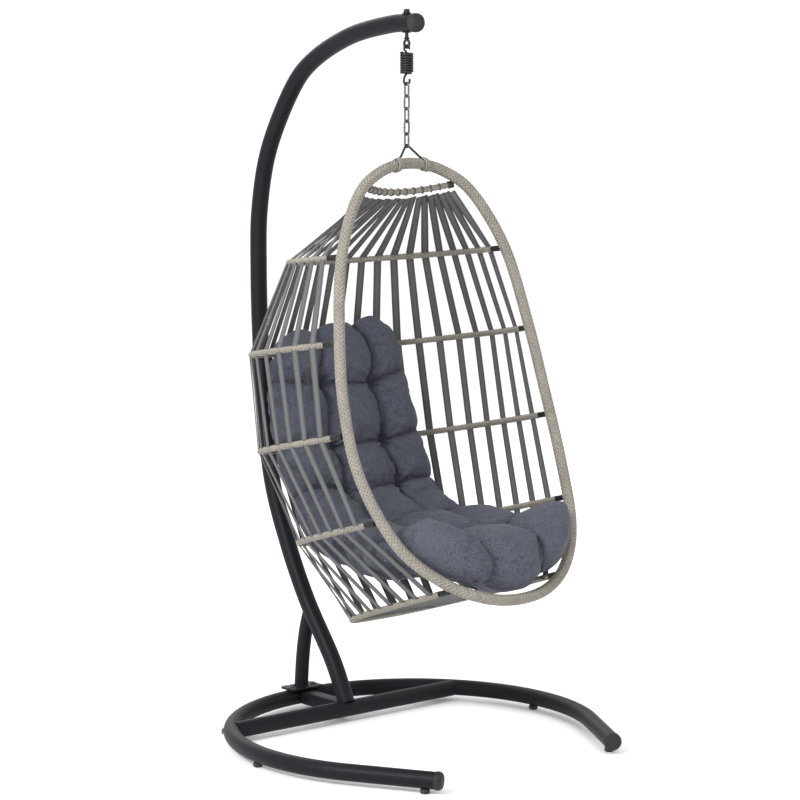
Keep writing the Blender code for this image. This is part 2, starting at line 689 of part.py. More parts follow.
def strap_stations(number):
    """Where a strap crosses the rail and each rib: (point on the bar, bar's direction, bar's radius)."""
    share = strap_share(number)
    rail = rail_line()
    point, direction = point_at(rail, 0.02 + 0.96 * (number + 0.5) / (2 * STRAPS_PER_SIDE))
    stations = [(point, direction, RAIL_R)]
    for rib in range(len(RIBS)):
        point, direction = point_at(rib_line(rib, 80), share)
        stations.append((point, direction, RIB_R))
    return stations


def band_section(centre, across, outward, width):
    """The four corners of a band's cross-section."""
    half = across * width / 2
    thick = outward * STRAP_THICKNESS / 2
    return [centre - half - thick, centre + half - thick, centre + half + thick, centre - half + thick]


def mirrored(point):
    """The same point on the other side of the chair."""
    return Vector((-point.x, point.y, point.z))


def strap_rings(number, goes_under):
    """Sections of a flat band over the outside of the rail and of every rib, from the top to the bottom ring."""
    stations = strap_stations(number)
    count = len(stations)
    centre_line = []
    frames = []
    for index, (point, direction, radius) in enumerate(stations):
        before = stations[max(index - 1, 0)][0]
        after = stations[min(index + 1, count - 1)][0]
        if goes_under and index == count - 1:
            after = mirrored(point)
        into = (point - before).normalized()
        out_of = (after - point).normalized()
        run = (into + out_of).normalized()
        across = (direction - run * run.dot(direction)).normalized()
        outward = across.cross(run).normalized()
        away = point - Vector((0, -0.05, point.z + 0.1 * index))
        if outward.dot(away) < 0:
            outward = -outward
        reach = radius + STRAP_CLEARANCE + STRAP_THICKNESS / 2
        if into.length > 0.5 and out_of.length > 0.5:
            reach /= math.cos(into.angle(out_of) / 2)
        centre_line.append(point + outward * reach)
        frames.append((across, outward))
    if not goes_under:
        centre_line[-1] += (centre_line[-1] - centre_line[-2]).normalized() * RIB_R
    rings = []
    for index in range(count - 1):
        pieces = STRAP_STEPS[index]
        for step in range(pieces + (index == count - 2)):
            part = step / pieces
            centre = centre_line[index].lerp(centre_line[index + 1], part)
            across = frames[index][0].lerp(frames[index + 1][0], part).normalized()
            outward = frames[index][1].lerp(frames[index + 1][1], part).normalized()
            width = STRAP_WIDTH if index else STRAP_TOP_WIDTH + (STRAP_WIDTH - STRAP_TOP_WIDTH) * part
            rings.append(band_section(centre, across, outward, width))
    return rings


def straps():
    """The side bands pass under the seat and up the other side; the rear ones end on the bottom ring."""
    last = 2 * STRAPS_PER_SIDE - 1
    for number in range(STRAPS_UNDER_SEAT):
        rings = strap_rings(number, True)
        other = [[mirrored(point) for point in ring] for ring in reversed(rings)]
        finish(loft(f"side_strap_{number + 1}", rings + other), "webbing")
    for number in range(STRAPS_UNDER_SEAT, last + 1 - STRAPS_UNDER_SEAT):
        name = f"rear_strap_{number + 1 - STRAPS_UNDER_SEAT}"
        finish(loft(name, strap_rings(number, False)), "webbing")


# ---------------------------------------------------------------- pad
def pad():
    """The one-piece seat and back pad, a loft of rounded sections along its bent middle line."""
    middles = [Vector((0, station[0], station[1])) for station in PAD_STATIONS]
    rings = []
    for index, (y, z, half, front, behind, dish) in enumerate(PAD_STATIONS):
        before = middles[max(index - 1, 0)]
        after = middles[min(index + 1, len(middles) - 1)]
        run = (after - before).normalized()
        face = Vector((1, 0, 0)).cross(run)
        ring = []
        for step in range(PAD_SIDES):
            angle = 2 * math.pi * (step + 0.5) / PAD_SIDES
            cosine = math.cos(angle)
            sine = math.sin(angle)
            power = 2 / 3.0 if sine > 0 else 2 / 2.4
            across = math.copysign(abs(cosine) ** power, cosine) * half
            up = math.copysign(abs(sine) ** power, sine) * (front if sine > 0 else behind)
            curl = Vector((0, PAD_SET_BACK * dish, dish)) * (across / half) ** 2
            ring.append(middles[index] + Vector((1, 0, 0)) * across + face * up + curl)
        rings.append(ring)
    finish(loft("seat_pad", rings), "canvas")


def place_on_origin():
    """Moves everything so that the origin is the floor point under the middle of the chair's box."""
    for group in (parts, cutters):
        for obj in group.objects:
            obj.location.y -= ORIGIN_FROM_HOOK


def main():
    start_scene()
    base_tubes()
    cross_tube()
    foot_glides()
    poles()
    rear_brace()
    stand_bolts()
    eye_bolt()
    spring_pieces()
    chain_links()
    bail()
    hoop_and_rail()
    ribs()
    straps()
    pad()
    place_on_origin()


main()
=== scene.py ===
"""Hanging egg chair: the looks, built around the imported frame. Metres, in the frame's own axes."""
import math

import bmesh
import bpy
import numpy as np
from mathutils import Matrix, Vector


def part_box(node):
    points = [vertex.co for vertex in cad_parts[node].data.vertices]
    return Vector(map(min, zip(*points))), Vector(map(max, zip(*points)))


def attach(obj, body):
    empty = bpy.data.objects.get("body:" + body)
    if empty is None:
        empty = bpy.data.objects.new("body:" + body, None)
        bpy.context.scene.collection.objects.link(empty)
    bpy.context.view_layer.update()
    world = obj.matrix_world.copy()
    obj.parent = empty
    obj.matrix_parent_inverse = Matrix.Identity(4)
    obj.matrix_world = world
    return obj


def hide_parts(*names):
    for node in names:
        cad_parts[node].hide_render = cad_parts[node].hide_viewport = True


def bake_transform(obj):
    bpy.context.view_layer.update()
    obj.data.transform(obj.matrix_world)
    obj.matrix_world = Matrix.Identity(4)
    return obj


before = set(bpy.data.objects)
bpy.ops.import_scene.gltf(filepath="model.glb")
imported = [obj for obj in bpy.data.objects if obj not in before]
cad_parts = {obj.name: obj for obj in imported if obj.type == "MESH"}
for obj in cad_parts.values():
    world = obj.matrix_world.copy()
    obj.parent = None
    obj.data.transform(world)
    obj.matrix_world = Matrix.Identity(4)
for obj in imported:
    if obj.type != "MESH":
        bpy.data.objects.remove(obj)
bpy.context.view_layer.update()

# ---------------------------------------------------------------- dimensions shared with the solids
HOOK_Y = -0.0865           # the hook's axis; every shape below is worked out from it
BASE_TUBE_R = 0.0225
BASE_Z = 0.035
BASE_RING_R = 0.49
BASE_RING_Y = -0.03
BASE_ARC_END = -30.0
BASE_STRAIGHT = 0.235
CROSS_Y = 0.256
LINK_SIZE = (0.040, 0.036)
SADDLE_SIZE = (0.110, 0.062, 0.006)
SADDLE_Z = BASE_Z + BASE_TUBE_R + 0.0003

POLE_R = 0.0235
POLE_LINE = (
    (0.258, 0.050), (0.320, 0.162), (0.435, 0.314), (0.526, 0.473), (0.594, 0.638),
    (0.630, 0.850), (0.646, 1.063), (0.651, 1.234), (0.645, 1.404), (0.600, 1.574),
    (0.493, 1.742), (0.394, 1.824), (0.235, 1.887), (0.070, 1.915), (-0.030, 1.918),
)
POLE_JOINT_Z = 0.960
POLE_JOINT_GAP = 0.0008
POLE_TIP_Z = 1.918
BRACE_R = 0.0195
BRACE_LINE = ((0.4635, 0.060), (0.455, 0.150), (0.441, 0.227), (0.420, 0.294))

EYE_R = 0.0100
EYE_WIRE_R = 0.0035
THREAD_STEP = 0.0006        # half the eye bolt's thread pitch
EYE_Z = 1.8640
HOOK_WIRE_R = 0.0030
UPPER_HOOK_Z = EYE_Z - EYE_R + EYE_WIRE_R + 0.0003 + (HOOK_WIRE_R - 0.0004)
SPRING_TOP_Z = 1.844
SPRING_BOTTOM_Z = 1.784
SPRING_R = 0.0152
SPRING_WIRE_R = 0.0030
SPRING_TURNS = 8.5
LOWER_HOOK_Z = 1.7575
BAIL_Z = 1.5998
BAIL_WIRE_R = 0.0030
BAIL_HALF_SPAN = 0.033
CHAIN_LINKS = 5
LINK_WIRE_R = 0.0025
LINK_HALF_WIDTH = 0.0075

HOOP_R = 0.0150
HOOP_HALF = (
    (0.000, -0.452, 0.453), (0.116, -0.437, 0.468), (0.221, -0.390, 0.518), (0.303, -0.319, 0.610),
    (0.346, -0.228, 0.770), (0.347, -0.166, 0.940), (0.326, -0.121, 1.121), (0.283, -0.077, 1.318),
    (0.201, -0.039, 1.466), (0.109, -0.020, 1.530), (0.000, -0.013, 1.552),
)
RAIL_R = 0.0085
RAIL_END = (0.148, -0.012, 1.493)
RAIL_MIDDLE = (0.0, 0.036, 1.474)
RIB_R = 0.0085
RIBS = (
    (0.281, -0.059, 1.319, 0.395, 0.115, 2.3, 0.04),
    (0.331, -0.111, 1.104, 0.525, 0.159, 3.0, 0.14),
    (0.357, -0.167, 0.873, 0.540, 0.212, 3.0, 0.05),
    (0.3315, -0.267, 0.660, 0.574, 0.272, 2.2, 0.00),
    (0.188, -0.391, 0.486, 0.530, 0.331, 2.8, 0.10),
)
RIB_NAMES = ("rib_1_shoulder", "rib_2_upper", "rib_3_middle", "rib_4_seat", "rib_5_bottom_ring")
LUG_LENGTH = 0.036
LUG_SECTION = (0.0095, 0.0150)
STRAPS_PER_SIDE = 12
STRAP_FIRST = 0.047
STRAP_WIDTH = 0.0212
STRAP_THICKNESS = 0.0022
STRAPS_UNDER_SEAT = 9
PAD_STATIONS = (
    (-0.462, 0.552, 0.205, 0.024, 0.030, 0.040), (-0.430, 0.548, 0.262, 0.066, 0.068, 0.060),
    (-0.380, 0.546, 0.262, 0.070, 0.070, 0.060), (-0.320, 0.548, 0.266, 0.070, 0.074, 0.055),
    (-0.230, 0.556, 0.280, 0.068, 0.080, 0.040), (-0.100, 0.560, 0.270, 0.068, 0.082, 0.020),
    (0.020, 0.560, 0.252, 0.070, 0.082, 0.005), (0.120, 0.600, 0.245, 0.072, 0.074, 0.0),
    (0.195, 0.690, 0.245, 0.070, 0.062, 0.0), (0.245, 0.800, 0.245, 0.068, 0.060, 0.0),
    (0.280, 0.930, 0.242, 0.066, 0.062, 0.0), (0.296, 1.040, 0.228, 0.060, 0.058, 0.0),
    (0.300, 1.105, 0.190, 0.040, 0.046, 0.0), (0.300, 1.128, 0.150, 0.016, 0.024, 0.0),
)
PAD_SET_BACK = 0.9

CAMERA_AT = (-4.516, -5.348 + HOOK_Y, 1.786)
CAMERA_LOOK = (0.6384, 0.7599, -0.1224)
CAMERA_LENS = 119.07


# ---------------------------------------------------------------- small helpers
def at_hook(point):
    """A point given from the hook's axis, in the frame's axes."""
    return Vector((point[0], point[1] + HOOK_Y, point[2]))


def spline(points, steps, closed=False):
    """Points on a Catmull-Rom curve through the given ones."""
    knots = [Vector(point) for point in points]
    count = len(knots)
    made = []
    for index in range(count if closed else count - 1):
        if closed:
            a, b, c, d = (knots[(index + shift) % count] for shift in (-1, 0, 1, 2))
        else:
            b = knots[index]
            c = knots[index + 1]
            a = knots[index - 1] if index else b * 2 - c
            d = knots[index + 2] if index + 2 < count else c * 2 - b
        for step in range(steps):
            t = step / steps
            made.append(0.5 * (2 * b + (c - a) * t + (2 * a - 5 * b + 4 * c - d) * t ** 2
                               + (3 * b - a - 3 * c + d) * t ** 3))
    if not closed:
        made.append(knots[-1])
    return made


def lengths_along(points):
    """Running length at each point of a line."""
    run = [0.0]
    for before, after in zip(points, points[1:]):
        run.append(run[-1] + (after - before).length)
    return run


def point_at(points, share):
    """The point and direction at a share of a line's length."""
    run = lengths_along(points)
    target = share * run[-1]
    for index in range(len(points) - 1):
        if run[index + 1] >= target:
            part = (target - run[index]) / (run[index + 1] - run[index])
            direction = (points[index + 1] - points[index]).normalized()
            return points[index].lerp(points[index + 1], part), direction
    return points[-1].copy(), (points[-1] - points[-2]).normalized()


def finished(bm, name, sharp=None):
    """Links a bmesh as an object, smooth but for edges past sharp degrees, where that is given."""
    mesh = bpy.data.meshes.new(name)
    bm.to_mesh(mesh)
    bm.free()
    obj = bpy.data.objects.new(name, mesh)
    bpy.context.scene.collection.objects.link(obj)
    if sharp is not None:
        mesh.shade_smooth()
        mesh.set_sharp_from_angle(angle=math.radians(sharp))
    return obj


def block(size, place, turn=None):
    """A bmesh box of a size, turned and then moved to its place."""
    bm = bmesh.new()
    bmesh.ops.create_cube(bm, size=1.0)
    bmesh.ops.scale(bm, vec=size, verts=bm.verts[:])
    if turn is not None:
        bmesh.ops.transform(bm, matrix=turn, verts=bm.verts[:])
    bmesh.ops.translate(bm, vec=place, verts=bm.verts[:])
    return bm


def circle(centre, first, second, radius, count):
    """Points round a centre, from the first direction towards the second."""
    first, second = Vector(first), Vector(second)
    angles = [2 * math.pi * k / count for k in range(count)]
    return [Vector(centre) + (first * math.cos(a) + second * math.sin(a)) * radius for a in angles]


def quad_piece(name, verts, quads, uvs=None):
    """Links a large mesh of quads from numpy arrays; uvs holds one pair per vertex."""
    mesh = bpy.data.meshes.new(name)
    mesh.vertices.add(len(verts))
    mesh.vertices.foreach_set("co", np.asarray(verts, np.float32).ravel())
    mesh.loops.add(quads.size)
    mesh.loops.foreach_set("vertex_index", quads.ravel().astype(np.int32))
    mesh.polygons.add(len(quads))
    mesh.polygons.foreach_set("loop_start", np.arange(0, quads.size, 4, dtype=np.int32))
    mesh.polygons.foreach_set("use_smooth", np.ones(len(quads), bool))
    mesh.update(calc_edges=True)
    if uvs is not None:
        layer = mesh.uv_layers.new(name="UVMap")
        layer.data.foreach_set("uv", np.asarray(uvs, np.float32)[quads.ravel()].ravel())
    mesh.validate()
    obj = bpy.data.objects.new(name, mesh)
    bpy.context.scene.collection.objects.link(obj)
    return obj


def hand_in(obj, body, slot, *nodes):
    """Rides a piece on its body and hides the solids that it stands for; slot is not used."""
    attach(obj, body)
    if nodes:
        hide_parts(*nodes)
    return obj


def grid_quads(rows, columns, closed_rows=False, closed_columns=True):
    """Quads over a rows by columns grid of vertices."""
    row = np.arange(rows if closed_rows else rows - 1)
    column = np.arange(columns if closed_columns else columns - 1)
    r, c = np.meshgrid(row, column, indexing="ij")
    r1 = (r + 1) % rows
    c1 = (c + 1) % columns
    corners = [r * columns + c, r * columns + c1, r1 * columns + c1, r1 * columns + c]
    return np.stack(corners, -1).reshape(-1, 4)


def frames_along(points, reference, closed=False):
    """Positions, tangents and two normals along a line, as arrays; the first normal leans to reference."""
    p = np.array([tuple(point) for point in points])
    if closed:
        tangent = np.roll(p, -1, 0) - np.roll(p, 1, 0)
    else:
        tangent = np.gradient(p, axis=0)
    tangent /= np.linalg.norm(tangent, axis=1, keepdims=True)
    ref = np.broadcast_to(np.asarray(reference, float), p.shape)
    first = ref - tangent * np.sum(ref * tangent, 1, keepdims=True)
    first /= np.linalg.norm(first, axis=1, keepdims=True)
    second = np.cross(tangent, first)
    return p, tangent, first, second


def tube(name, points, radius, reference, sides=24, closed=False, profile=None, rounded=0.0):
    """A smooth tube along a dense line. profile(length share array) may scale its radius."""
    p, tangent, first, second = frames_along(points, reference, closed)
    count = len(p)
    angle = 2 * np.pi * np.arange(sides) / sides
    radii = np.full(count, radius)
    if profile is not None:
        radii = radii * profile(np.linspace(0, 1, count))
    rings = (p[:, None] + first[:, None] * (np.cos(angle)[None, :, None] * radii[:, None, None])
             + second[:, None] * (np.sin(angle)[None, :, None] * radii[:, None, None]))
    verts = rings.reshape(-1, 3)
    quads = grid_quads(count, sides, closed_rows=closed)[:, ::-1]
    if closed:
        return quad_piece(name, verts, quads)
    bm = bmesh.new()
    made = [bm.verts.new(v) for v in verts]
    for quad in quads:
        bm.faces.new([made[i] for i in quad])
    for ring, inward in ((0, tangent[0]), (count - 1, -tangent[-1])):
        loop = [made[ring * sides + k] for k in range(sides)]
        centre = Vector(p[ring])
        if rounded:
            small = []
            for k, vert in enumerate(loop):
                small.append(bm.verts.new(centre + (vert.co - centre) * (1 - rounded / radius)
                                          - Vector(inward) * rounded * 0.5))
            for k in range(sides):
                pair = (loop[k], loop[(k + 1) % sides], small[(k + 1) % sides], small[k])
                bm.faces.new(pair)
            loop = small
        bm.faces.new(loop)
    bmesh.ops.recalc_face_normals(bm, faces=bm.faces)
    return finished(bm, name, 50)


def turned(name, start, direction, profile, sides=32):
    """A closed solid of revolution; profile is (distance along the axis, radius)."""
    axis = Vector(direction).normalized()
    first = axis.orthogonal().normalized()
    second = axis.cross(first)
    bm = bmesh.new()
    rings = []
    for along, radius in profile:
        if radius < 1e-6:
            rings.append([bm.verts.new(Vector(start) + axis * along)])
            continue
        spots = circle(Vector(start) + axis * along, first, second, radius, sides)
        rings.append([bm.verts.new(spot) for spot in spots])
    for low, high in zip(rings, rings[1:]):
        for k in range(sides):
            n = (k + 1) % sides
            if len(low) == 1 and len(high) == 1:
                continue
            if len(low) == 1:
                bm.faces.new((low[0], high[k], high[n]))
            elif len(high) == 1:
                bm.faces.new((low[k], low[n], high[0]))
            else:
                bm.faces.new((low[k], low[n], high[n], high[k]))
    if len(rings[0]) > 1:
        bm.faces.new(rings[0])
    if len(rings[-1]) > 1:
        bm.faces.new(list(reversed(rings[-1])))
    bmesh.ops.recalc_face_normals(bm, faces=bm.faces)
    return finished(bm, name, 35)


def join(name, pieces):
    """Joins pieces into the first one."""
    bpy.ops.object.select_all(action="DESELECT")
    for piece in pieces:
        piece.select_set(True)
    bpy.context.view_layer.objects.active = pieces[0]
    bpy.ops.object.join()
    pieces[0].name = name
    pieces[0].data.name = name
    return pieces[0]


# ---------------------------------------------------------------- materials
class Graph:
    """Short names for building a material's nodes."""

    def __init__(self, name):
        self.material = bpy.data.materials.new(name)
        self.material.use_nodes = True
        self.tree = self.material.node_tree
        self.shader = self.tree.nodes["Principled BSDF"]

    def node(self, kind, **values):
        made = self.tree.nodes.new(kind)
        for key, value in values.items():
            if key.startswith("in_"):
                made.inputs[key[3:].replace("_", " ")].default_value = value
            else:
                setattr(made, key, value)
        return made

    def link(self, out, into):
        self.tree.links.new(out, into)

    def coords(self, kind="Object"):
        return self.node("ShaderNodeTexCoord").outputs[kind]

    def noise(self, where, scale, detail=4.0, rough=0.55, stretch=None):
        if stretch is not None:
            where = self.scaled(where, stretch)
        made = self.node("ShaderNodeTexNoise")
        made.inputs["Scale"].default_value = scale
        made.inputs["Detail"].default_value = detail
        made.inputs["Roughness"].default_value = rough
        self.link(where, made.inputs["Vector"])
        return made.outputs["Fac"]

    def scaled(self, where, stretch):
        made = self.node("ShaderNodeMapping")
        made.inputs["Scale"].default_value = stretch
        self.link(where, made.inputs["Vector"])
        return made.outputs["Vector"]

    def math(self, operation, a, b=None):
        made = self.node("ShaderNodeMath", operation=operation)
        for socket, value in zip(made.inputs, (a, b)):
            if value is None:
                continue
            if isinstance(value, (int, float)):
                socket.default_value = value
            else:
                self.link(value, socket)
        return made.outputs[0]

    def ramp(self, value, low, high, to_low=0.0, to_high=1.0):
        made = self.node("ShaderNodeMapRange")
        made.inputs["From Min"].default_value = low
        made.inputs["From Max"].default_value = high
        made.inputs["To Min"].default_value = to_low
        made.inputs["To Max"].default_value = to_high
        self.link(value, made.inputs["Value"])
        return made.outputs["Result"]

    def mix(self, factor, a, b):
        made = self.node("ShaderNodeMix", data_type="RGBA")
        self.link(factor, made.inputs["Factor"])
        for socket, value in ((made.inputs["A"], a), (made.inputs["B"], b)):
            if isinstance(value, tuple):
                socket.default_value = (*value, 1.0)
            else:
                self.link(value, socket)
        return made.outputs["Result"]

    def bump(self, height, strength, distance, normal=None):
        made = self.node("ShaderNodeBump")
        made.inputs["Strength"].default_value = strength
        made.inputs["Distance"].default_value = distance
        self.link(height, made.inputs["Height"])
        if normal is not None:
            self.link(normal, made.inputs["Normal"])
        return made.outputs["Normal"]

    def set(self, **values):
        for key, value in values.items():
            socket = self.shader.inputs[key.replace("_", " ")]
            if isinstance(value, tuple):
                socket.default_value = (*value, 1.0)
            elif isinstance(value, (int, float)):
                socket.default_value = value
            else:
                self.link(value, socket)
        return self.material


def coated_steel():
    """Anthracite powder coat: a fine orange-peel skin with a little dust and wear."""
    g = Graph("anthracite_powder_coat")
    where = g.coords()
    broad = g.noise(where, 5.0, 3.0)
    fine = g.noise(where, 420.0, 3.0, 0.6)
    grain = g.noise(where, 1600.0, 2.0, 0.7)
    base = g.mix(g.ramp(broad, 0.3, 0.7), (0.0056, 0.0061, 0.0080), (0.0084, 0.0090, 0.0115))
    colour = g.mix(g.ramp(grain, 0.45, 0.75, 0.0, 0.35), base, (0.020, 0.021, 0.025))
    rough = g.ramp(fine, 0.3, 0.7, 0.40, 0.54)
    skin = g.bump(fine, 0.22, 0.0006)
    normal = g.bump(grain, 0.10, 0.0002, skin)
    return g.set(Base_Color=colour, Roughness=rough, Specular_IOR_Level=0.11, Normal=normal)


def speckled(name, patches, tones, grain, rough, bump, **constants):
    """A plain finish: patches (scale, detail, low, high) between two tones, over a finer grain."""
    g = Graph(name)
    where = g.coords()
    fine = g.noise(where, *grain)
    broad = g.noise(where, *patches[:2])
    colour = g.mix(g.ramp(broad, *patches[2:]), *tones)
    if isinstance(rough, tuple):
        rough = g.ramp(fine, 0.3, 0.7, *rough)
    return g.set(Base_Color=colour, Roughness=rough, Normal=g.bump(fine, *bump), **constants)


def zinc_steel():
    """Zinc plate: mottled spangle, faint scratches, tarnish in patches."""
    g = Graph("zinc_plate")
    where = g.coords()
    spangle = g.noise(where, 260.0, 3.0)
    patch = g.noise(where, 40.0, 4.0)
    scratch = g.noise(where, 300.0, 2.0, 0.5, (1.0, 1.0, 12.0))
    base = g.mix(g.ramp(spangle, 0.35, 0.65), (0.085, 0.085, 0.09), (0.16, 0.16, 0.165))
    colour = g.mix(g.ramp(patch, 0.5, 0.75, 0.0, 0.7), base, (0.03, 0.028, 0.027))
    rough = g.ramp(scratch, 0.3, 0.7, 0.28, 0.48)
    return g.set(Base_Color=colour, Roughness=rough, Metallic=0.9, Normal=g.bump(scratch, 0.2, 0.0003))


def wicker(name, light, dark, gap):
    """Extruded wicker: fibres along each strand, tone varying from strand to strand; the dark between strands
    is painted shade, from a darker copy of this material on the core beneath.
    """
    g = Graph(name)
    where = g.coords()
    uv = g.coords("UV")
    along = g.noise(uv, 1.0, 4.0, 0.6, (18.0, 900.0, 1.0))
    fibre = g.noise(uv, 1.0, 2.0, 0.5, (60.0, 2600.0, 1.0))
    tone = g.noise(uv, 1.0, 1.0, 0.5, (9.0, 37.0, 1.0))
    weather = g.noise(where, 14.0, 3.0)
    base = g.mix(g.ramp(along, 0.32, 0.68), dark, light)
    base = g.mix(g.ramp(tone, 0.35, 0.65, 0.0, 0.6), base, tuple(0.55 * c for c in light))
    colour = g.mix(g.ramp(weather, 0.45, 0.8, 0.0, 0.3), base, gap)
    rough = g.ramp(fibre, 0.3, 0.7, 0.50, 0.72)
    grooves = g.bump(along, 0.35, 0.0009)
    normal = g.bump(fibre, 0.25, 0.0004, grooves)
    return g.set(Base_Color=colour, Roughness=rough, Normal=normal)


def webbing():
    """Flat woven band: lengthwise cords crossed by a fine weft, lighter along the middle as a painted
    highlight on its crown.
    """
    g = Graph("woven_band")
    uv = g.coords("UV")
    split = g.node("ShaderNodeSeparateXYZ")
    g.link(uv, split.inputs[0])
    length, across = split.outputs[0], split.outputs[1]
    cords = g.math("SINE", g.math("MULTIPLY", across, 2 * math.pi * 9.0))
    every_other = g.math("MULTIPLY", g.math("FLOOR", g.math("MULTIPLY", across, 9.0)), math.pi)
    weft = g.math("SINE", g.math("ADD", g.math("MULTIPLY", length, 2 * math.pi / 0.0024), every_other))
    weave = g.math("ADD", g.math("MULTIPLY", cords, 0.5), g.math("MULTIPLY", weft, 0.5))
    fuzz = g.noise(uv, 1.0, 3.0, 0.6, (120.0, 60.0, 1.0))
    long_fade = g.noise(uv, 1.0, 2.0, 0.5, (7.0, 1.5, 1.0))
    edge = g.math("ABSOLUTE", g.math("SUBTRACT", across, 0.5))
    # Painted highlight: the band is lightened along its crowned middle and stays darker towards its edges.
    crown_highlight = g.ramp(edge, 0.12, 0.40, 1.0, 0.0)
    base = g.mix(g.ramp(fuzz, 0.3, 0.7), (0.034, 0.034, 0.038), (0.058, 0.058, 0.062))
    base = g.mix(g.math("MULTIPLY", crown_highlight, 0.70), base, (0.112, 0.112, 0.113))
    base = g.mix(g.ramp(long_fade, 0.4, 0.75, 0.0, 0.35), base, (0.085, 0.080, 0.072))
    # Painted shade: the weave's low spots are darkened towards near black, where shade falls between the
    # threads.
    colour = g.mix(g.ramp(weave, -1.0, -0.2, 0.55, 0.0), base, (0.022, 0.022, 0.024))
    normal = g.bump(weave, 0.5, 0.0006, g.bump(fuzz, 0.2, 0.0004))
    return g.set(Base_Color=colour, Roughness=g.ramp(fuzz, 0.3, 0.7, 0.55, 0.75), Normal=normal)


def canvas():
    """Slate canvas: a fine plain weave with slubs, faded a little in broad random patches."""
    g = Graph("slate_canvas")
    cloth = g.node("ShaderNodeAttribute", attribute_name="cloth").outputs["Vector"]
    split = g.node("ShaderNodeSeparateXYZ")
    g.link(cloth, split.inputs[0])
    thread = 2 * math.pi / 0.0017
    warp = g.math("SINE", g.math("MULTIPLY", split.outputs[0], thread))
    weft = g.math("SINE", g.math("MULTIPLY", split.outputs[1], thread))
    depth = g.math("SINE", g.math("MULTIPLY", split.outputs[2], thread))
    weave = g.math("ADD", g.math("MULTIPLY", warp, weft), g.math("MULTIPLY", depth, 0.4))
    slub_a = g.noise(cloth, 1.0, 3.0, 0.6, (900.0, 45.0, 200.0))
    slub_b = g.noise(cloth, 1.0, 3.0, 0.6, (45.0, 900.0, 200.0))
    slub = g.math("ADD", slub_a, slub_b)
    fade = g.noise(g.coords(), 4.0, 3.0)
    crease = g.noise(g.coords(), 34.0, 5.0, 0.62)
    base = g.mix(g.ramp(slub, 0.84, 1.16), (0.027, 0.030, 0.044), (0.080, 0.084, 0.109))
    base = g.mix(g.ramp(fade, 0.35, 0.7, 0.0, 0.45), base, (0.066, 0.069, 0.088))
    # Painted shade: the weave's low spots are darkened, where shade falls between the threads.
    colour = g.mix(g.ramp(weave, -1.0, 0.0, 0.35, 0.0), base, (0.028, 0.031, 0.045))
    # Painted shade in the creases: near the seams, round the tufts and in the wrinkle valleys the cloth is
    # darkened towards near black.
    crease_shade = g.node("ShaderNodeAttribute", attribute_name="crease_shade").outputs["Fac"]
    colour = g.mix(g.math("MULTIPLY", crease_shade, 0.75), colour, (0.013, 0.015, 0.023))
    normal = g.bump(crease, 0.30, 0.0035)
    normal = g.bump(slub, 0.25, 0.0005, normal)
    normal = g.bump(weave, 0.25, 0.0004, normal)
    return g.set(Base_Color=colour, Roughness=0.86, Sheen_Weight=0.04, Sheen_Roughness=0.5,
                 Specular_IOR_Level=0.3, Normal=normal)


STEEL = coated_steel()
PLASTIC = speckled("moulded_black", (30.0, 2.0, 0.3, 0.7), ((0.014, 0.0145, 0.016), (0.022, 0.0225, 0.024)),
                   (900.0, 3.0, 0.7), (0.5, 0.68), (0.25, 0.0004), Specular_IOR_Level=0.2)
RUBBER = speckled("glide_rubber", (60.0, 4.0, 0.45, 0.8), ((0.016, 0.016, 0.016), (0.06, 0.058, 0.055)),
                  (500.0, 4.0, 0.7), 0.88, (0.3, 0.0005))
ZINC = zinc_steel()
OXIDE = speckled("black_oxide", (180.0, 4.0, 0.55, 0.85), ((0.006, 0.006, 0.007), (0.034, 0.033, 0.033)),
                 (1200.0, 2.0), (0.40, 0.58), (0.15, 0.0002), Metallic=0.30)
WICKER = wicker("braided_wicker", (0.300, 0.278, 0.236), (0.140, 0.128, 0.105), (0.065, 0.059, 0.049))
# Painted shade: a darker copy of the wicker for the cores, seen only between the strands of the braid.
SHADE_CORE = wicker("wicker_shadow", (0.13, 0.12, 0.10), (0.07, 0.065, 0.055), (0.04, 0.037, 0.03))
BAND = webbing()
CLOTH = canvas()


def paint(obj, material):
    """Gives a piece one material."""
    obj.data.materials.clear()
    obj.data.materials.append(material)
    return obj


# ---------------------------------------------------------------- stand
UP = (0.0, 0.0, 1.0)
SIDE = (1.0, 0.0, 0.0)
AHEAD = (0.0, 1.0, 0.0)
BEAD_R = 0.0022            # weld beads and the cord wound round the bail's feet


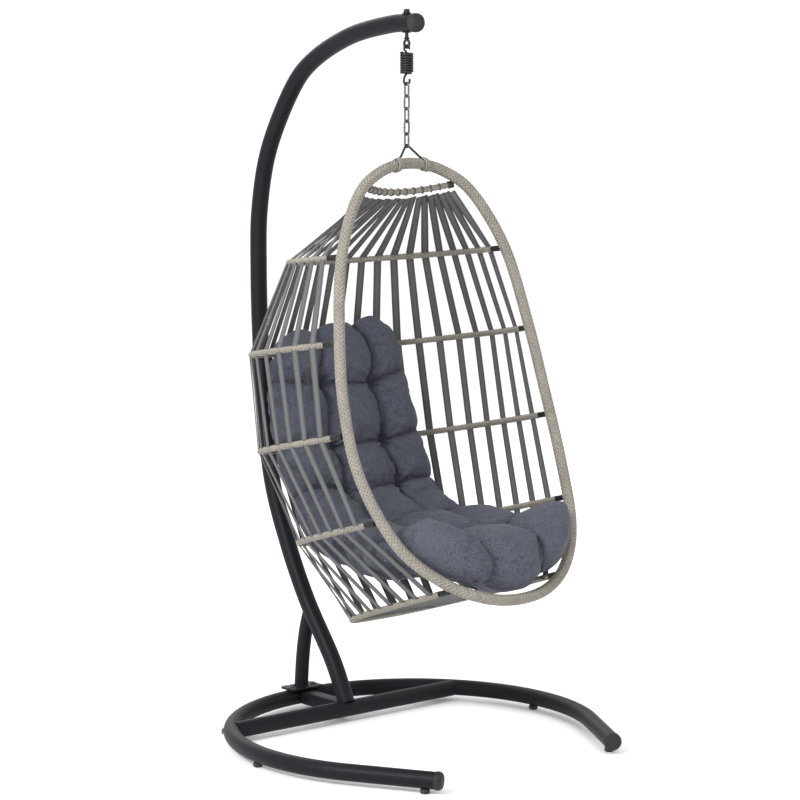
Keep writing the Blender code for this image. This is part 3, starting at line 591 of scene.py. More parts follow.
def stand():
    """Bent tubes with moulded ends, weld beads, the bolt heads of the saddle and the cross tube, and the
    glides.
    """
    back = BASE_RING_Y + BASE_RING_R
    for side, word in ((-1, "left"), (1, "right")):
        line = []
        for step in range(73):
            angle = math.radians(90 + (BASE_ARC_END - 90) * step / 72)
            line.append(at_hook((side * BASE_RING_R * math.cos(angle),
                                 BASE_RING_Y + BASE_RING_R * math.sin(angle), BASE_Z)))
        line[0].x = side * 0.0002
        end = math.radians(BASE_ARC_END)
        ahead = Vector((side * math.sin(end), -math.cos(end), 0.0))
        last = line[-1].copy()
        for step in range(1, 9):
            line.append(last + ahead * BASE_STRAIGHT * step / 8)
        ring = tube(f"base_ring_{word}", line, BASE_TUBE_R, UP, 36)
        hand_in(paint(ring, STEEL), "stand", "coated_steel", f"base_tube_{word}")
        cap_profile = ((-0.001, 0.0), (-0.001, 0.0226), (0.0003, 0.0240), (0.0020, 0.0243), (0.0080, 0.0241),
                       (0.0125, 0.0226), (0.0158, 0.0190), (0.0175, 0.0130), (0.0180, 0.0))
        cap = turned(f"ring_end_{word}", line[-1], ahead, cap_profile, 36)
        hand_in(paint(cap, PLASTIC), "stand", "black_plastic", f"base_end_cap_{word}")

    reach = math.sqrt(BASE_RING_R ** 2 - (CROSS_Y - BASE_RING_Y) ** 2)
    half = reach - 0.012
    cross_line = [at_hook((-half + 2 * half * k / 40, CROSS_Y, BASE_Z)) for k in range(41)]
    cross = tube("cross_bar", cross_line, BASE_TUBE_R, UP, 36)
    front = CROSS_Y + 0.010
    rear = back - 0.016
    middle = at_hook((0, (front + rear) / 2, BASE_Z))
    bm = block((LINK_SIZE[0], rear - front, LINK_SIZE[1]), middle)
    bmesh.ops.bevel(bm, geom=bm.edges[:], offset=0.004, segments=3, affect="EDGES", profile=0.5)
    link = finished(bm, "link_box", 40)
    beads = []
    for side in (-1, 1):
        bead_line = []
        for k in range(25):
            angle = math.pi * (k / 24 - 0.5) * 0.98
            bead_line.append(at_hook((side * LINK_SIZE[0] / 2, CROSS_Y + BASE_TUBE_R * math.cos(angle) * 0.98,
                                      BASE_Z + min(max(BASE_TUBE_R * math.sin(angle), -0.018), 0.018))))
        beads.append(tube(f"bead_{side + 1}", bead_line, BEAD_R, (0.3, 0.1, 1.0), 10))
    hand_in(paint(join("cross_frame", [cross, link] + beads), STEEL), "stand", "coated_steel", "cross_tube")

    for word in ("front_left", "front_right", "middle_left", "middle_right", "rear_left", "rear_right"):
        node = f"foot_glide_{word}"
        low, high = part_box(node)
        centre = (low + high) / 2
        radius = (high.x - low.x) / 2
        glide = turned(f"glide_{word}", (centre.x, centre.y, low.z), UP, (
            (0, 0.0), (0, radius * 0.55), (0.0004, radius * 0.80), (0.0018, radius * 0.93), (0.0050, radius),
            (0.0085, radius * 0.99), (0.0118, radius * 0.86), (0.0122, 0.0)), 28)
        hand_in(paint(glide, RUBBER), "stand", "rubber", node)

    for side, word in ((-1, "left"), (1, "right")):
        for kind, spot, outward in (
                ("saddle_bolt", at_hook((side * 0.040, back, SADDLE_Z + SADDLE_SIZE[2])), Vector(UP)),
                ("cross_bolt", None, Vector((side * reach, CROSS_Y - BASE_RING_Y, 0)).normalized())):
            if spot is None:
                spot = at_hook((side * reach, CROSS_Y, BASE_Z)) + outward * BASE_TUBE_R
            head = turned(f"{kind}_head_{word}", spot, outward, (
                (0.0, 0.0), (0.0, 0.0098), (0.0012, 0.0100), (0.0014, 0.0086), (0.0022, 0.0085),
                (0.0038, 0.0072), (0.0049, 0.0046), (0.0051, 0.0036), (0.0034, 0.0033), (0.0034, 0.0)), 28)
            hand_in(paint(head, ZINC), "stand", "zinc_steel", f"{kind}_{word}")


def pole():
    """The bowed pole in two sections, its end cap, and the rear brace on its saddle."""
    line = [at_hook((0.0, y, z)) for y, z in POLE_LINE]
    smooth = spline(line, 14)
    lower = [p for p in smooth if p.z < POLE_JOINT_Z - 0.001]
    upper = [p for p in smooth if p.z > POLE_JOINT_Z + 0.001]
    joint = lower[-1].lerp(upper[0], 0.5)
    short = joint - (upper[0] - lower[-1]).normalized() * POLE_JOINT_GAP
    low = tube("pole_lower_tube", lower + [short], POLE_R, SIDE, 40)
    hand_in(paint(low, STEEL), "stand", "coated_steel", "pole_lower")
    high = tube("pole_upper_tube", [joint] + upper, POLE_R, SIDE, 40)
    hand_in(paint(high, STEEL), "stand", "coated_steel", "pole_upper")
    cap = turned("pole_tip_cap", upper[-1], (0, -1, 0), (
        (-0.001, 0.0), (-0.001, 0.0236), (0.0004, 0.0250), (0.0025, 0.0252), (0.0110, 0.0249),
        (0.0160, 0.0232), (0.0198, 0.0190), (0.0217, 0.0120), (0.0220, 0.0)), 40)
    hand_in(paint(cap, PLASTIC), "stand", "black_plastic", "pole_end_cap")

    back = BASE_RING_Y + BASE_RING_R
    brace_line = spline([at_hook((0.0, y, z)) for y, z in BRACE_LINE], 8)
    brace_line[0].z = SADDLE_Z + 0.003
    tube_part = tube("brace_stem", brace_line, BRACE_R, SIDE, 36)
    bm = block(SADDLE_SIZE, at_hook((0, back, SADDLE_Z + SADDLE_SIZE[2] / 2)))
    bmesh.ops.bevel(bm, geom=[e for e in bm.edges if abs((e.verts[0].co - e.verts[1].co).z) > 0.001],
                    offset=0.010, segments=5, affect="EDGES", profile=0.5)
    bmesh.ops.bevel(bm, geom=[e for e in bm.edges if abs((e.verts[0].co - e.verts[1].co).z) < 0.0001
                              and len(e.link_faces) == 2 and e.calc_face_angle(0) > 1.0],
                    offset=0.0012, segments=2, affect="EDGES", profile=0.5)
    plate = finished(bm, "saddle_top", 40)
    foot = at_hook((0, BRACE_LINE[0][0] - 0.0005, SADDLE_Z + SADDLE_SIZE[2] + 0.001))
    weld = tube("brace_weld", circle(foot, SIDE, AHEAD, BRACE_R * 1.02, 32), BEAD_R, UP, 8, closed=True)
    brace = join("brace_and_saddle", [tube_part, plate, weld])
    hand_in(paint(brace, STEEL), "stand", "coated_steel", "rear_brace")


# ---------------------------------------------------------------- hanger
def hook_bend(centre_z, radius, start, end, steps):
    """Points on a hook's arc in the XZ plane; 0 degrees points to +X."""
    return [at_hook((radius * math.cos(math.radians(start + (end - start) * k / steps)), 0,
                     centre_z + radius * math.sin(math.radians(start + (end - start) * k / steps))))
            for k in range(steps + 1)]


def hanger():
    """Eye bolt, washer and nut, the spring with its hooks, and the chain."""
    top = POLE_TIP_Z + POLE_R + 0.002
    thread = [(0.058 + THREAD_STEP * k, 0.0050 if k % 2 else 0.0045) for k in range(40)]
    shank = turned("eye_shank", at_hook((0, 0, EYE_Z + EYE_R - 0.002)), UP, [
        (0, 0.0), (0, 0.0050), *thread, (0.0822, 0.0042), (0.0826, 0.0)], 24)
    loop = circle(at_hook((0, 0, EYE_Z)), UP, AHEAD, EYE_R, 48)
    ring = tube("eye_loop", loop, EYE_WIRE_R, SIDE, 16, closed=True)
    collar = turned("eye_collar", at_hook((0, 0, EYE_Z + EYE_R + 0.0015)), UP,
                    ((0, 0.0), (0, 0.0052), (0.001, 0.0075), (0.004, 0.0078), (0.005, 0.0055),
                     (0.005, 0.0)), 24)
    hand_in(paint(join("swivel_eye", [shank, ring, collar]), OXIDE), "eye", "zinc_steel", "eye_bolt")
    washer = turned("eye_washer", at_hook((0, 0, top + 0.0003)), UP, (
        (0.0, 0.0055), (0.0, 0.0108), (0.0004, 0.0110), (0.0014, 0.0110), (0.0018, 0.0107),
        (0.0018, 0.0055)), 32)
    hand_in(paint(washer, OXIDE), "eye", "zinc_steel", "eye_bolt_washer")
    nut_z = top + 0.0018 + 0.0006
    nut = turned("eye_lock_nut", at_hook((0, 0, nut_z)), UP, (
        (0.0, 0.0), (0.0, 0.0082), (0.0008, 0.0090), (0.0062, 0.0090), (0.0068, 0.0080), (0.0070, 0.0072),
        (0.0083, 0.0066), (0.0085, 0.0)), 6)
    hand_in(paint(nut, OXIDE), "eye", "zinc_steel", "eye_bolt_nut")
    bottom = POLE_TIP_Z - POLE_R - 0.002
    bush = turned("bush_flanges", at_hook((0, 0, bottom)), UP, (
        (0.0, 0.0056), (0.0, 0.0120), (0.0006, 0.0125), (0.0016, 0.0125), (0.0018, 0.0080),
        (top - bottom - 0.0018, 0.0080), (top - bottom - 0.0016, 0.0125), (top - bottom - 0.0004, 0.0125),
        (top - bottom, 0.0121), (top - bottom, 0.0056)), 32)
    hand_in(paint(bush, PLASTIC), "stand", "black_plastic", "swivel_bush")

    bend = 0.0090
    line = hook_bend(UPPER_HOOK_Z - bend, bend, -12, 180, 24) + spline([
        at_hook((-bend, 0, UPPER_HOOK_Z - bend - 0.0005)), at_hook((-bend * 0.80, 0, SPRING_TOP_Z + 0.0026)),
        at_hook((-0.0015, 0, SPRING_TOP_Z - 0.0015)), at_hook((0, 0, SPRING_TOP_Z - 0.010))], 6)
    wire = tube("upper_hook_rod", line, HOOK_WIRE_R - 0.0004, (0, 1, 0), 16, rounded=0.001)
    plug = turned("upper_plug", at_hook((0, 0, SPRING_TOP_Z - 0.020)), UP, (
        (0, 0.0), (0, 0.0100), (0.001, 0.0115), (0.012, 0.0117), (0.0145, 0.0110), (0.0160, 0.0070),
        (0.0160, 0.0)), 32)
    hand_in(paint(join("upper_hook", [wire, plug]), OXIDE), "spring_top", "zinc_steel", "spring_upper_hook")

    coil_line = []
    per_turn = 36
    rise = (SPRING_TOP_Z - SPRING_BOTTOM_Z - 2 * SPRING_WIRE_R) / SPRING_TURNS
    for k in range(int(SPRING_TURNS * per_turn) + 1):
        angle = 2 * math.pi * k / per_turn
        coil_line.append(at_hook((SPRING_R * math.cos(angle), SPRING_R * math.sin(angle),
                                  SPRING_BOTTOM_Z + SPRING_WIRE_R + rise * k / per_turn)))
    coil = tube("tension_coil", coil_line, SPRING_WIRE_R, UP, 14, rounded=0.0008)
    paint(coil, OXIDE)
    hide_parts("coil_spring")
    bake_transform(coil)

    bend = 0.0100
    line = spline([at_hook((0, 0, SPRING_BOTTOM_Z + 0.010)), at_hook((-0.001, 0, SPRING_BOTTOM_Z + 0.002)),
                   at_hook((-bend * 0.75, 0, SPRING_BOTTOM_Z - 0.006)),
                   at_hook((-bend, 0, LOWER_HOOK_Z + bend + 0.0005))], 6) + hook_bend(
        LOWER_HOOK_Z + bend, bend, 181, 385, 24)
    wire = tube("lower_hook_rod", line, HOOK_WIRE_R, (0, 1, 0), 16, rounded=0.001)
    plug = turned("lower_plug", at_hook((0, 0, SPRING_BOTTOM_Z + 0.004)), UP, (
        (0, 0.0), (0, 0.0070), (0.0015, 0.0110), (0.004, 0.0117), (0.015, 0.0115), (0.016, 0.0100),
        (0.016, 0.0)), 32)
    hand_in(paint(join("lower_hook", [wire, plug]), OXIDE), "spring_low", "zinc_steel", "spring_lower_hook")

    drop = LOWER_HOOK_Z - 1.5990
    length = (drop + HOOK_WIRE_R + BAIL_WIRE_R + 2 * LINK_WIRE_R + 0.0006
              + (CHAIN_LINKS - 1) * (2 * LINK_WIRE_R + 0.0003)) / CHAIN_LINKS
    top_z = LOWER_HOOK_Z + HOOK_WIRE_R + LINK_WIRE_R + 0.0003
    straight = length / 2 - LINK_HALF_WIDTH
    for number in range(CHAIN_LINKS):
        middle = top_z - length / 2 - number * (length - 2 * LINK_WIRE_R - 0.0003)
        line = []
        for start, shift in ((0, straight), (180, -straight)):
            for k in range(19):
                angle = math.radians(start + 180 * k / 18)
                across = LINK_HALF_WIDTH * math.cos(angle)
                up = shift + LINK_HALF_WIDTH * math.sin(angle)
                x, y = (across, 0) if number % 2 else (0, across)
                line.append(at_hook((x, y, middle + up)))
            low = line[-1]
            for k in range(1, 8):
                line.append(low + Vector((0, 0, (-2 if start == 0 else 2) * straight * k / 8)))
        reference = SIDE if number % 2 == 0 else (0, 1, 0)
        link = tube(f"welded_link_{number + 1}", line, LINK_WIRE_R, reference, 14, closed=True)
        weld_at = line[19 + 3]
        bead = turned(f"weld_{number + 1}", weld_at - Vector((0, 0, 0.0022)), UP, (
            (0, 0.0), (0, 0.0024), (0.0010, 0.0030), (0.0022, 0.0032), (0.0034, 0.0030), (0.0044, 0.0024),
            (0.0044, 0.0)), 14)
        hand_in(paint(join(f"link_{number + 1}", [link, bead]), ZINC), "basket", "zinc_steel",
                f"chain_link_{number + 1}")


def bail():
    """The bent wire between the last link and the hoop; its feet lie along the hoop."""
    bend = 0.0045
    arc = []
    for degrees in range(140, 39, -10):
        angle = math.radians(degrees)
        arc.append(at_hook((bend * math.cos(angle), 0, BAIL_Z - bend + bend * math.sin(angle))))
    top = HOOP_HALF[-1][2] + HOOP_R
    feet = []
    for side in (-1, 1):
        feet.append([at_hook((side * BAIL_HALF_SPAN * 0.86, -0.012, top + 0.0060)),
                     at_hook((side * BAIL_HALF_SPAN * 1.02, -0.0135, top + 0.0012)),
                     at_hook((side * BAIL_HALF_SPAN * 1.40, -0.0150, top - 0.0042)),
                     at_hook((side * BAIL_HALF_SPAN * 1.75, -0.0165, top - 0.0105))])
    knots = [feet[0][3], feet[0][2], feet[0][1], feet[0][0], feet[0][0].lerp(arc[0], 0.5)] + arc + [
        feet[1][0].lerp(arc[-1], 0.5), feet[1][0], feet[1][1], feet[1][2], feet[1][3]]
    wire = tube("bail_rod", spline(knots, 6), BAIL_WIRE_R, (0, 1, 0), 14, rounded=0.001)
    hand_in(paint(wire, OXIDE), "basket", "black_steel", "hoop_bail")
    wraps = []
    for side in (-1, 1):
        for turn in range(3):
            x = side * (BAIL_HALF_SPAN * 1.40 + (turn - 1) * 0.0052)
            centre = at_hook((x, -0.014 - 0.05 * abs(x), HOOP_HALF[-1][2] - 2.3 * x * x + 0.0012))
            line = circle(centre, (-side * 0.12, 0, 1), AHEAD, HOOP_R + BEAD_R, 28)
            wraps.append(tube(f"foot_wrap_{side}_{turn}", line, BEAD_R, SIDE, 8, closed=True))
    hand_in(paint(join("foot_wraps", wraps), WICKER), "basket", "wicker")


# ---------------------------------------------------------------- wicker bars
def resampled(points, step, closed=False):
    """Points spaced evenly along a line, as an array, and the line's length."""
    p = np.array([tuple(point) for point in points])
    if closed:
        p = np.vstack([p, p[:1]])
    run = np.concatenate([[0.0], np.cumsum(np.linalg.norm(np.diff(p, axis=0), axis=1))])
    count = max(int(round(run[-1] / step)), 4)
    where = np.linspace(0, run[-1], count + 1)
    if closed:
        where = where[:-1]
    made = np.stack([np.interp(where, run, p[:, axis]) for axis in range(3)], -1)
    return made, run[-1]


def braid(name, points, radius, strands, reference, closed=False, step=0.0028, width=0.92, lift=0.0013,
          thick=0.0013):
    """A tube of flat strands, braided two over and two under, round a line; returns one piece."""
    p, total = resampled(points, 0.004, closed)
    p, tangent, first, second = frames_along([Vector(q) for q in p], reference, closed)
    around = 2 * math.pi * radius
    pitch = around * 1.05
    turns = max(round(total / pitch), 1) if closed else total / pitch
    pitch = total / turns
    lean = math.atan2(around, pitch)
    half = 0.5 * width * around * math.cos(lean) / strands
    count = int(total / step)
    s = np.linspace(0, total, count + 1)
    outline = np.array([(-1.0, -0.15), (-0.72, 0.62), (0.0, 1.0), (0.72, 0.62), (1.0, -0.15), (0.0, -0.5)])
    verts = []
    quads = []
    uvs = []
    base = 0
    for family in (1, -1):
        for strand in range(strands):
            shift = 2 * math.pi * strand / strands
            crossing = 2 * strands * s / pitch
            offset = 0 if family > 0 else math.pi
            wave = np.cos(np.pi * (crossing / 2 + strand * family) + offset)
            lifted = radius - lift * 0.5 + lift * np.clip(wave * 1.6, -1, 1) * 0.5
            theta = shift + family * 2 * math.pi * s / pitch
            ring_s = s[:, None] - family * outline[None, :, 0] * half * math.sin(lean) * family
            ring_t = theta[:, None] + family * outline[None, :, 0] * half * math.cos(lean) / radius
            ring_r = lifted[:, None] + outline[None, :, 1] * thick
            place = ring_s / total * (len(p) if closed else len(p) - 1)
            if not closed:
                place = np.clip(place, 0, len(p) - 1.0001)
            low = np.floor(place).astype(int)
            part = (place - low)[..., None]
            a = low % len(p)
            b = (low + 1) % len(p) if closed else np.minimum(low + 1, len(p) - 1)
            centre = p[a] * (1 - part) + p[b] * part
            n1 = first[a] * (1 - part) + first[b] * part
            n2 = second[a] * (1 - part) + second[b] * part
            outward = n1 * np.cos(ring_t)[..., None] + n2 * np.sin(ring_t)[..., None]
            point = centre + outward * ring_r[..., None]
            rows = len(s)
            sides = len(outline)
            q = grid_quads(rows, sides)
            caps = []
            if not closed:
                for row in (0, rows - 1):
                    r = row * sides
                    caps += [(r, r + 1, r + 2, r + 5), (r + 5, r + 2, r + 3, r + 4)]
                caps = np.array(caps)
                caps[:2] = caps[:2, ::-1]
                q = np.vstack([q, caps])
            else:
                q = q.copy()
            verts.append(point.reshape(-1, 3))
            quads.append((q if family > 0 else q[:, ::-1]) + base)
            u = np.repeat((s + 0.37 * strand + 5.1 * (family > 0))[:, None], sides, 1)
            v = np.broadcast_to(outline[None, :, 0] * half + 0.05 * strand, (rows, sides))
            uvs.append(np.stack([u, v], -1).reshape(-1, 2))
            base += rows * sides
    return quad_piece(name, np.vstack(verts), np.vstack(quads)[:, ::-1], np.vstack(uvs))


def wrapped_bar(name, points, radius, strands, reference, body, slot, nodes, closed=False):
    """A braided sleeve over a core: a tube in a darker copy of the wicker, painted shade where it shows
    between the strands.
    """
    sleeve = braid(name + "_braid", points, radius - 0.0013, strands, reference, closed)
    paint(sleeve, WICKER)
    hand_in(sleeve, body, slot, *nodes)
    p, _ = resampled(points, 0.006, closed)
    # The core's darker wicker is painted shade between the strands.
    shade_core = tube(name + "_shade_core", [Vector(q) for q in p], radius - 0.0026, reference, 16, closed)
    hand_in(paint(shade_core, SHADE_CORE), body, slot)
    return sleeve


def hoop_line():
    """The hoop's closed centreline."""
    right = [at_hook(point) for point in HOOP_HALF]
    left = [Vector((-point.x, point.y, point.z)) for point in reversed(right[1:-1])]
    return spline(right + left, 24, closed=True)


def rail_line():
    """The top rail's centreline."""
    end = at_hook(RAIL_END)
    middle = at_hook(RAIL_MIDDLE)
    line = []
    for step in range(41):
        across = -1 + 2 * step / 40
        point = middle + (end - middle) * across ** 2
        point.x = end.x * across
        line.append(point)
    return line


def rib_line(number, samples=120):
    """A rib's centreline from its left end to its right end."""
    end_x, end_y, end_z, depth, drop, square, bulge = RIBS[number]
    line = []
    for step in range(samples + 1):
        angle = math.pi * (1 - step / samples)
        back = abs(math.sin(angle)) ** (2 / square)
        across = math.copysign(abs(math.cos(angle)) ** (2 / square), math.cos(angle))
        if step == samples // 2:
            across = 0.0
        wider = 1 + bulge * math.sin(math.pi * back)
        line.append(at_hook((end_x * across * wider, end_y + depth * back, end_z - drop * depth * back)))
    return [point_at(line, step / samples)[0] for step in range(samples + 1)]


def basket_bars():
    """The hoop, the rail and the ribs, with the lugs and screws that hold the ribs to the hoop."""
    hoop = hoop_line()
    wrapped_bar("hoop", hoop, HOOP_R, 8, (0, -0.93, 0.37), "basket", "wicker", ["front_hoop"], closed=True)
    wrapped_bar("rail", rail_line(), RAIL_R, 4, UP, "basket", "wicker", ["top_rail"])
    rail = rail_line()
    for end, inner, word in ((rail[0], rail[3], "left"), (rail[-1], rail[-4], "right")):
        along = (inner - end).normalized()
        sock = turned(f"rail_socket_{word}", end - along * 0.004, along, (
            (0.0, 0.0), (0.0, 0.0088), (0.0010, 0.0098), (0.0150, 0.0098), (0.0162, 0.0088),
            (0.0162, 0.0)), 20)
        hand_in(paint(sock, OXIDE), "basket", "black_steel")
    for number, name in enumerate(RIB_NAMES):
        fine = rib_line(number)
        total = lengths_along(fine)[-1]
        trim = LUG_LENGTH / total
        body = [point_at(fine, trim + (1 - 2 * trim) * k / 150)[0] for k in range(151)]
        wrapped_bar(name, body, RIB_R, 4, UP, "basket", "wicker", [name])
        for end, share, side, word in ((fine[0], trim, -1, "left"), (fine[-1], 1 - trim, 1, "right")):
            stop = point_at(fine, share)[0]
            along = (stop - end).normalized()
            across = Vector((side, 0, 0))
            across = (across - along * along.dot(across)).normalized()
            up = along.cross(across)
            turn = Matrix((along, across, up)).transposed().to_4x4()
            size = ((stop - end).length + 0.006, *LUG_SECTION)
            bm = block(size, (end + stop) / 2 + along * 0.003, turn)
            bmesh.ops.bevel(bm, geom=bm.edges[:], offset=0.0018, segments=2, affect="EDGES", profile=0.5)
            lug = finished(bm, f"{name}_lug_{word}", 40)
            hand_in(paint(lug, OXIDE), "basket", "black_steel")
            spot = (end + stop) / 2 + along * 0.004 + across * 0.0045
            screw = turned(f"{name}_screw_{word}", spot, across, (
                (0.0, 0.0), (0.0, 0.0052), (0.0010, 0.0052), (0.0024, 0.0040), (0.0030, 0.0024),
                (0.0020, 0.0020), (0.0020, 0.0)), 20)
            hand_in(paint(screw, OXIDE), "basket", "zinc_steel")


# ---------------------------------------------------------------- straps
def strap_share(number):
    """Share of a rib's length where a strap crosses it."""
    last = 2 * STRAPS_PER_SIDE - 1
    return STRAP_FIRST + (1 - 2 * STRAP_FIRST) * number / last


RIB_FINE = [rib_line(number) for number in range(len(RIBS))]
RAIL_FINE = rail_line()
TUCK = 0.0048              # how far off a rib's axis a band runs, under the rib's wicker


def strap_rows(number, goes_under):
    """Rows of (centre, across, outward, width) down a band, from the rail to the bottom ring."""
    share = strap_share(number)
    stations = [point_at(RAIL_FINE, 0.02 + 0.96 * (number + 0.5) / (2 * STRAPS_PER_SIDE))]
    for rib in range(len(RIBS)):
        stations.append(point_at(RIB_FINE[rib], share))
    count = len(stations)
    centres = []
    turns = []
    for index, (point, direction) in enumerate(stations):
        before = stations[max(index - 1, 0)][0]
        after = stations[min(index + 1, count - 1)][0]
        if goes_under and index == count - 1:
            after = Vector((-point.x, point.y, point.z))
        into = (point - before).normalized()
        out_of = (after - point).normalized()
        run = (into + out_of).normalized()
        across = (direction - run * run.dot(direction)).normalized()
        outward = across.cross(run).normalized()
        away = point - Vector((0, HOOK_Y - 0.05, point.z + 0.1 * index))
        if outward.dot(away) < 0:
            outward = -outward
        layer = 0.0016 if number % 2 else -0.0016
        reach = layer if index == 0 else TUCK
        centres.append(point + outward * reach)
        turns.append((across, outward))
    rows = []
    for index in range(count - 1):
        pieces = 10
        for step in range(1 if index == 0 else 0, pieces + (index == count - 2)):
            part = step / pieces
            centre = centres[index].lerp(centres[index + 1], part)
            across = turns[index][0].lerp(turns[index + 1][0], part).normalized()
            outward = turns[index][1].lerp(turns[index + 1][1], part).normalized()
            width = STRAP_WIDTH if index else STRAP_WIDTH * (0.86 + 0.14 * part)
            if index == 0:
                tilt = Matrix.Rotation(0.10 * (1 - part), 3, (centres[1] - centres[0]).normalized())
                across = tilt @ across
                outward = tilt @ outward
            rows.append((centre, across, outward, width))
    return rows


OUTLINE = ((-0.5, 0.0), (-0.46, 0.42), (-0.22, 0.55), (0.0, 0.60), (0.22, 0.55), (0.46, 0.42), (0.5, 0.0),
           (0.46, -0.42), (0.22, -0.50), (0.0, -0.52), (-0.22, -0.50), (-0.46, -0.42))


def band_mesh(name, rows):
    """A woven band through rows of (centre, across, outward, width)."""
    sides = len(OUTLINE)
    verts = []
    uvs = []
    run = 0.0
    last = None
    for centre, across, outward, width in rows:
        if last is not None:
            run += (centre - last).length
        last = centre
        for x, y in OUTLINE:
            verts.append(centre + across * (x * width) + outward * (y * STRAP_THICKNESS))
            uvs.append((run, x + 0.5))
    count = len(rows)
    quads = grid_quads(count, sides)
    caps = []
    for row in (0, count - 1):
        start = row * sides
        for k in range(sides // 2 - 1):
            quad = (start + k, start + k + 1, start + sides - 2 - k, start + sides - 1 - k)
            if k == 0:
                quad = (start, start + 1, start + sides - 2, start + sides - 1)
            caps.append(quad if row else quad[::-1])
    quads = np.vstack([quads, np.array(caps)])
    obj = quad_piece(name, np.array([tuple(v) for v in verts]), quads[:, ::-1], np.array(uvs))
    bm = bmesh.new()
    bm.from_mesh(obj.data)
    bmesh.ops.holes_fill(bm, edges=bm.edges[:], sides=0)
    bmesh.ops.recalc_face_normals(bm, faces=bm.faces)
    bm.to_mesh(obj.data)
    bm.free()
    return obj


def straps():
    """The bands: the side ones pass under the seat, the rear ones end on the bottom ring."""
    last = 2 * STRAPS_PER_SIDE - 1
    for number in range(STRAPS_UNDER_SEAT):
        rows = strap_rows(number, True)
        other = []
        for centre, across, outward, width in reversed(rows):
            flipped = [Vector((-v.x, v.y, v.z)) for v in (centre, across, outward)]
            other.append((flipped[0], flipped[1], flipped[2], width))
        halfway = [a.lerp(b, 0.5) for a, b in zip(rows[-1][:3], other[0][:3])]
        whole = rows + [(*halfway, rows[-1][3])]
        piece = band_mesh(f"side_band_{number + 1}", whole + other)
        hand_in(paint(piece, BAND), "basket", "webbing", f"side_strap_{number + 1}")
    loops = []
    for number in range(STRAPS_PER_SIDE + 1):
        centre, along = point_at(RAIL_FINE, 0.03 + 0.94 * number / STRAPS_PER_SIDE)
        first = (Vector(UP) - along * along.z).normalized()
        second = along.cross(first)
        line = circle(centre, first, second, RAIL_R + 0.0010, 24)
        loops.append(tube(f"rail_cord_{number}", line, 0.0014, along, 8, closed=True))
    hand_in(paint(join("rail_cords", loops), BAND), "basket", "webbing")
    for number in range(STRAPS_UNDER_SEAT, last + 1 - STRAPS_UNDER_SEAT):
        piece = band_mesh(f"rear_band_{number + 1 - STRAPS_UNDER_SEAT}", strap_rows(number, False))
        hand_in(paint(piece, BAND), "basket", "webbing", f"rear_strap_{number + 1 - STRAPS_UNDER_SEAT}")


# ---------------------------------------------------------------- pad
COLUMN_SEAMS = (-0.36, 0.36)                 # shares of the half width
ROW_SEAMS = (0.225, 0.450, 0.668, 0.810, 0.985)   # metres along the pad from its front edge
SEAM_DEPTH = 0.027
ROW_DEPTHS = (0.028, 0.024, 0.018, 0.013, 0.013)
TUFT_DEPTH = 0.020
PAD_INSET = 0.006
PAD_SWELL = 0.026


def pad_stations(rows):
    """Dense stations of the pad: run, centre, direction along, face direction, half width, front, behind."""
    knots = np.array(PAD_STATIONS)
    knots[:, 0] += HOOK_Y
    run = np.concatenate([[0.0], np.cumsum(np.linalg.norm(np.diff(knots[:, :2], axis=0), axis=1))])
    slopes = np.gradient(knots, run, axis=0)
    s = np.linspace(0, run[-1], rows)
    index = np.clip(np.searchsorted(run, s) - 1, 0, len(run) - 2)
    span = (run[index + 1] - run[index])[:, None]
    t = ((s - run[index])[:, None]) / span
    a, b = knots[index], knots[index + 1]
    da, db = slopes[index] * span, slopes[index + 1] * span
    values = ((2 * t ** 3 - 3 * t ** 2 + 1) * a + (t ** 3 - 2 * t ** 2 + t) * da
              + (-2 * t ** 3 + 3 * t ** 2) * b + (t ** 3 - t ** 2) * db)
    along = np.gradient(values[:, :2], s, axis=0)
    along /= np.linalg.norm(along, axis=1, keepdims=True)
    face = np.stack([-along[:, 1], along[:, 0]], -1)
    return s, values, along, face


def pad_place(points, stations):
    """Where each point lies in the pad: across as a share, across in metres, along, and out of the middle."""
    s, values, along, face = stations
    flat = points[:, 1:].copy()
    for _ in range(2):
        nearest = np.empty(len(points), int)
        for start in range(0, len(points), 20000):
            part = flat[start:start + 20000, None] - values[None, :, :2]
            nearest[start:start + 20000] = np.argmin(np.sum(part ** 2, -1), 1)
        curl = values[nearest, 5] * np.clip(points[:, 0] / values[nearest, 2], -1.1, 1.1) ** 2
        flat = points[:, 1:] - np.stack([PAD_SET_BACK * curl, curl], -1)
    offset = (flat - values[nearest, :2])
    out = np.sum(offset * face[nearest], 1)
    run = s[nearest] + np.sum(offset * along[nearest], 1)
    return points[:, 0] / values[nearest, 2], points[:, 0], run, out


def column_line(column, run):
    """How a column seam wanders from side to side, in metres."""
    return 0.007 * np.sin(run * 36.0 + 0.6 + 2.2 * column)


def row_line(row, share):
    """How a row seam sags in the middle of the pad, in metres."""
    sag = np.cos(np.clip(share, -1, 1) * math.pi / 2) ** 2
    return 0.012 - 0.028 * sag + 0.004 * np.sin(share * 6.0 + row * 9.0)


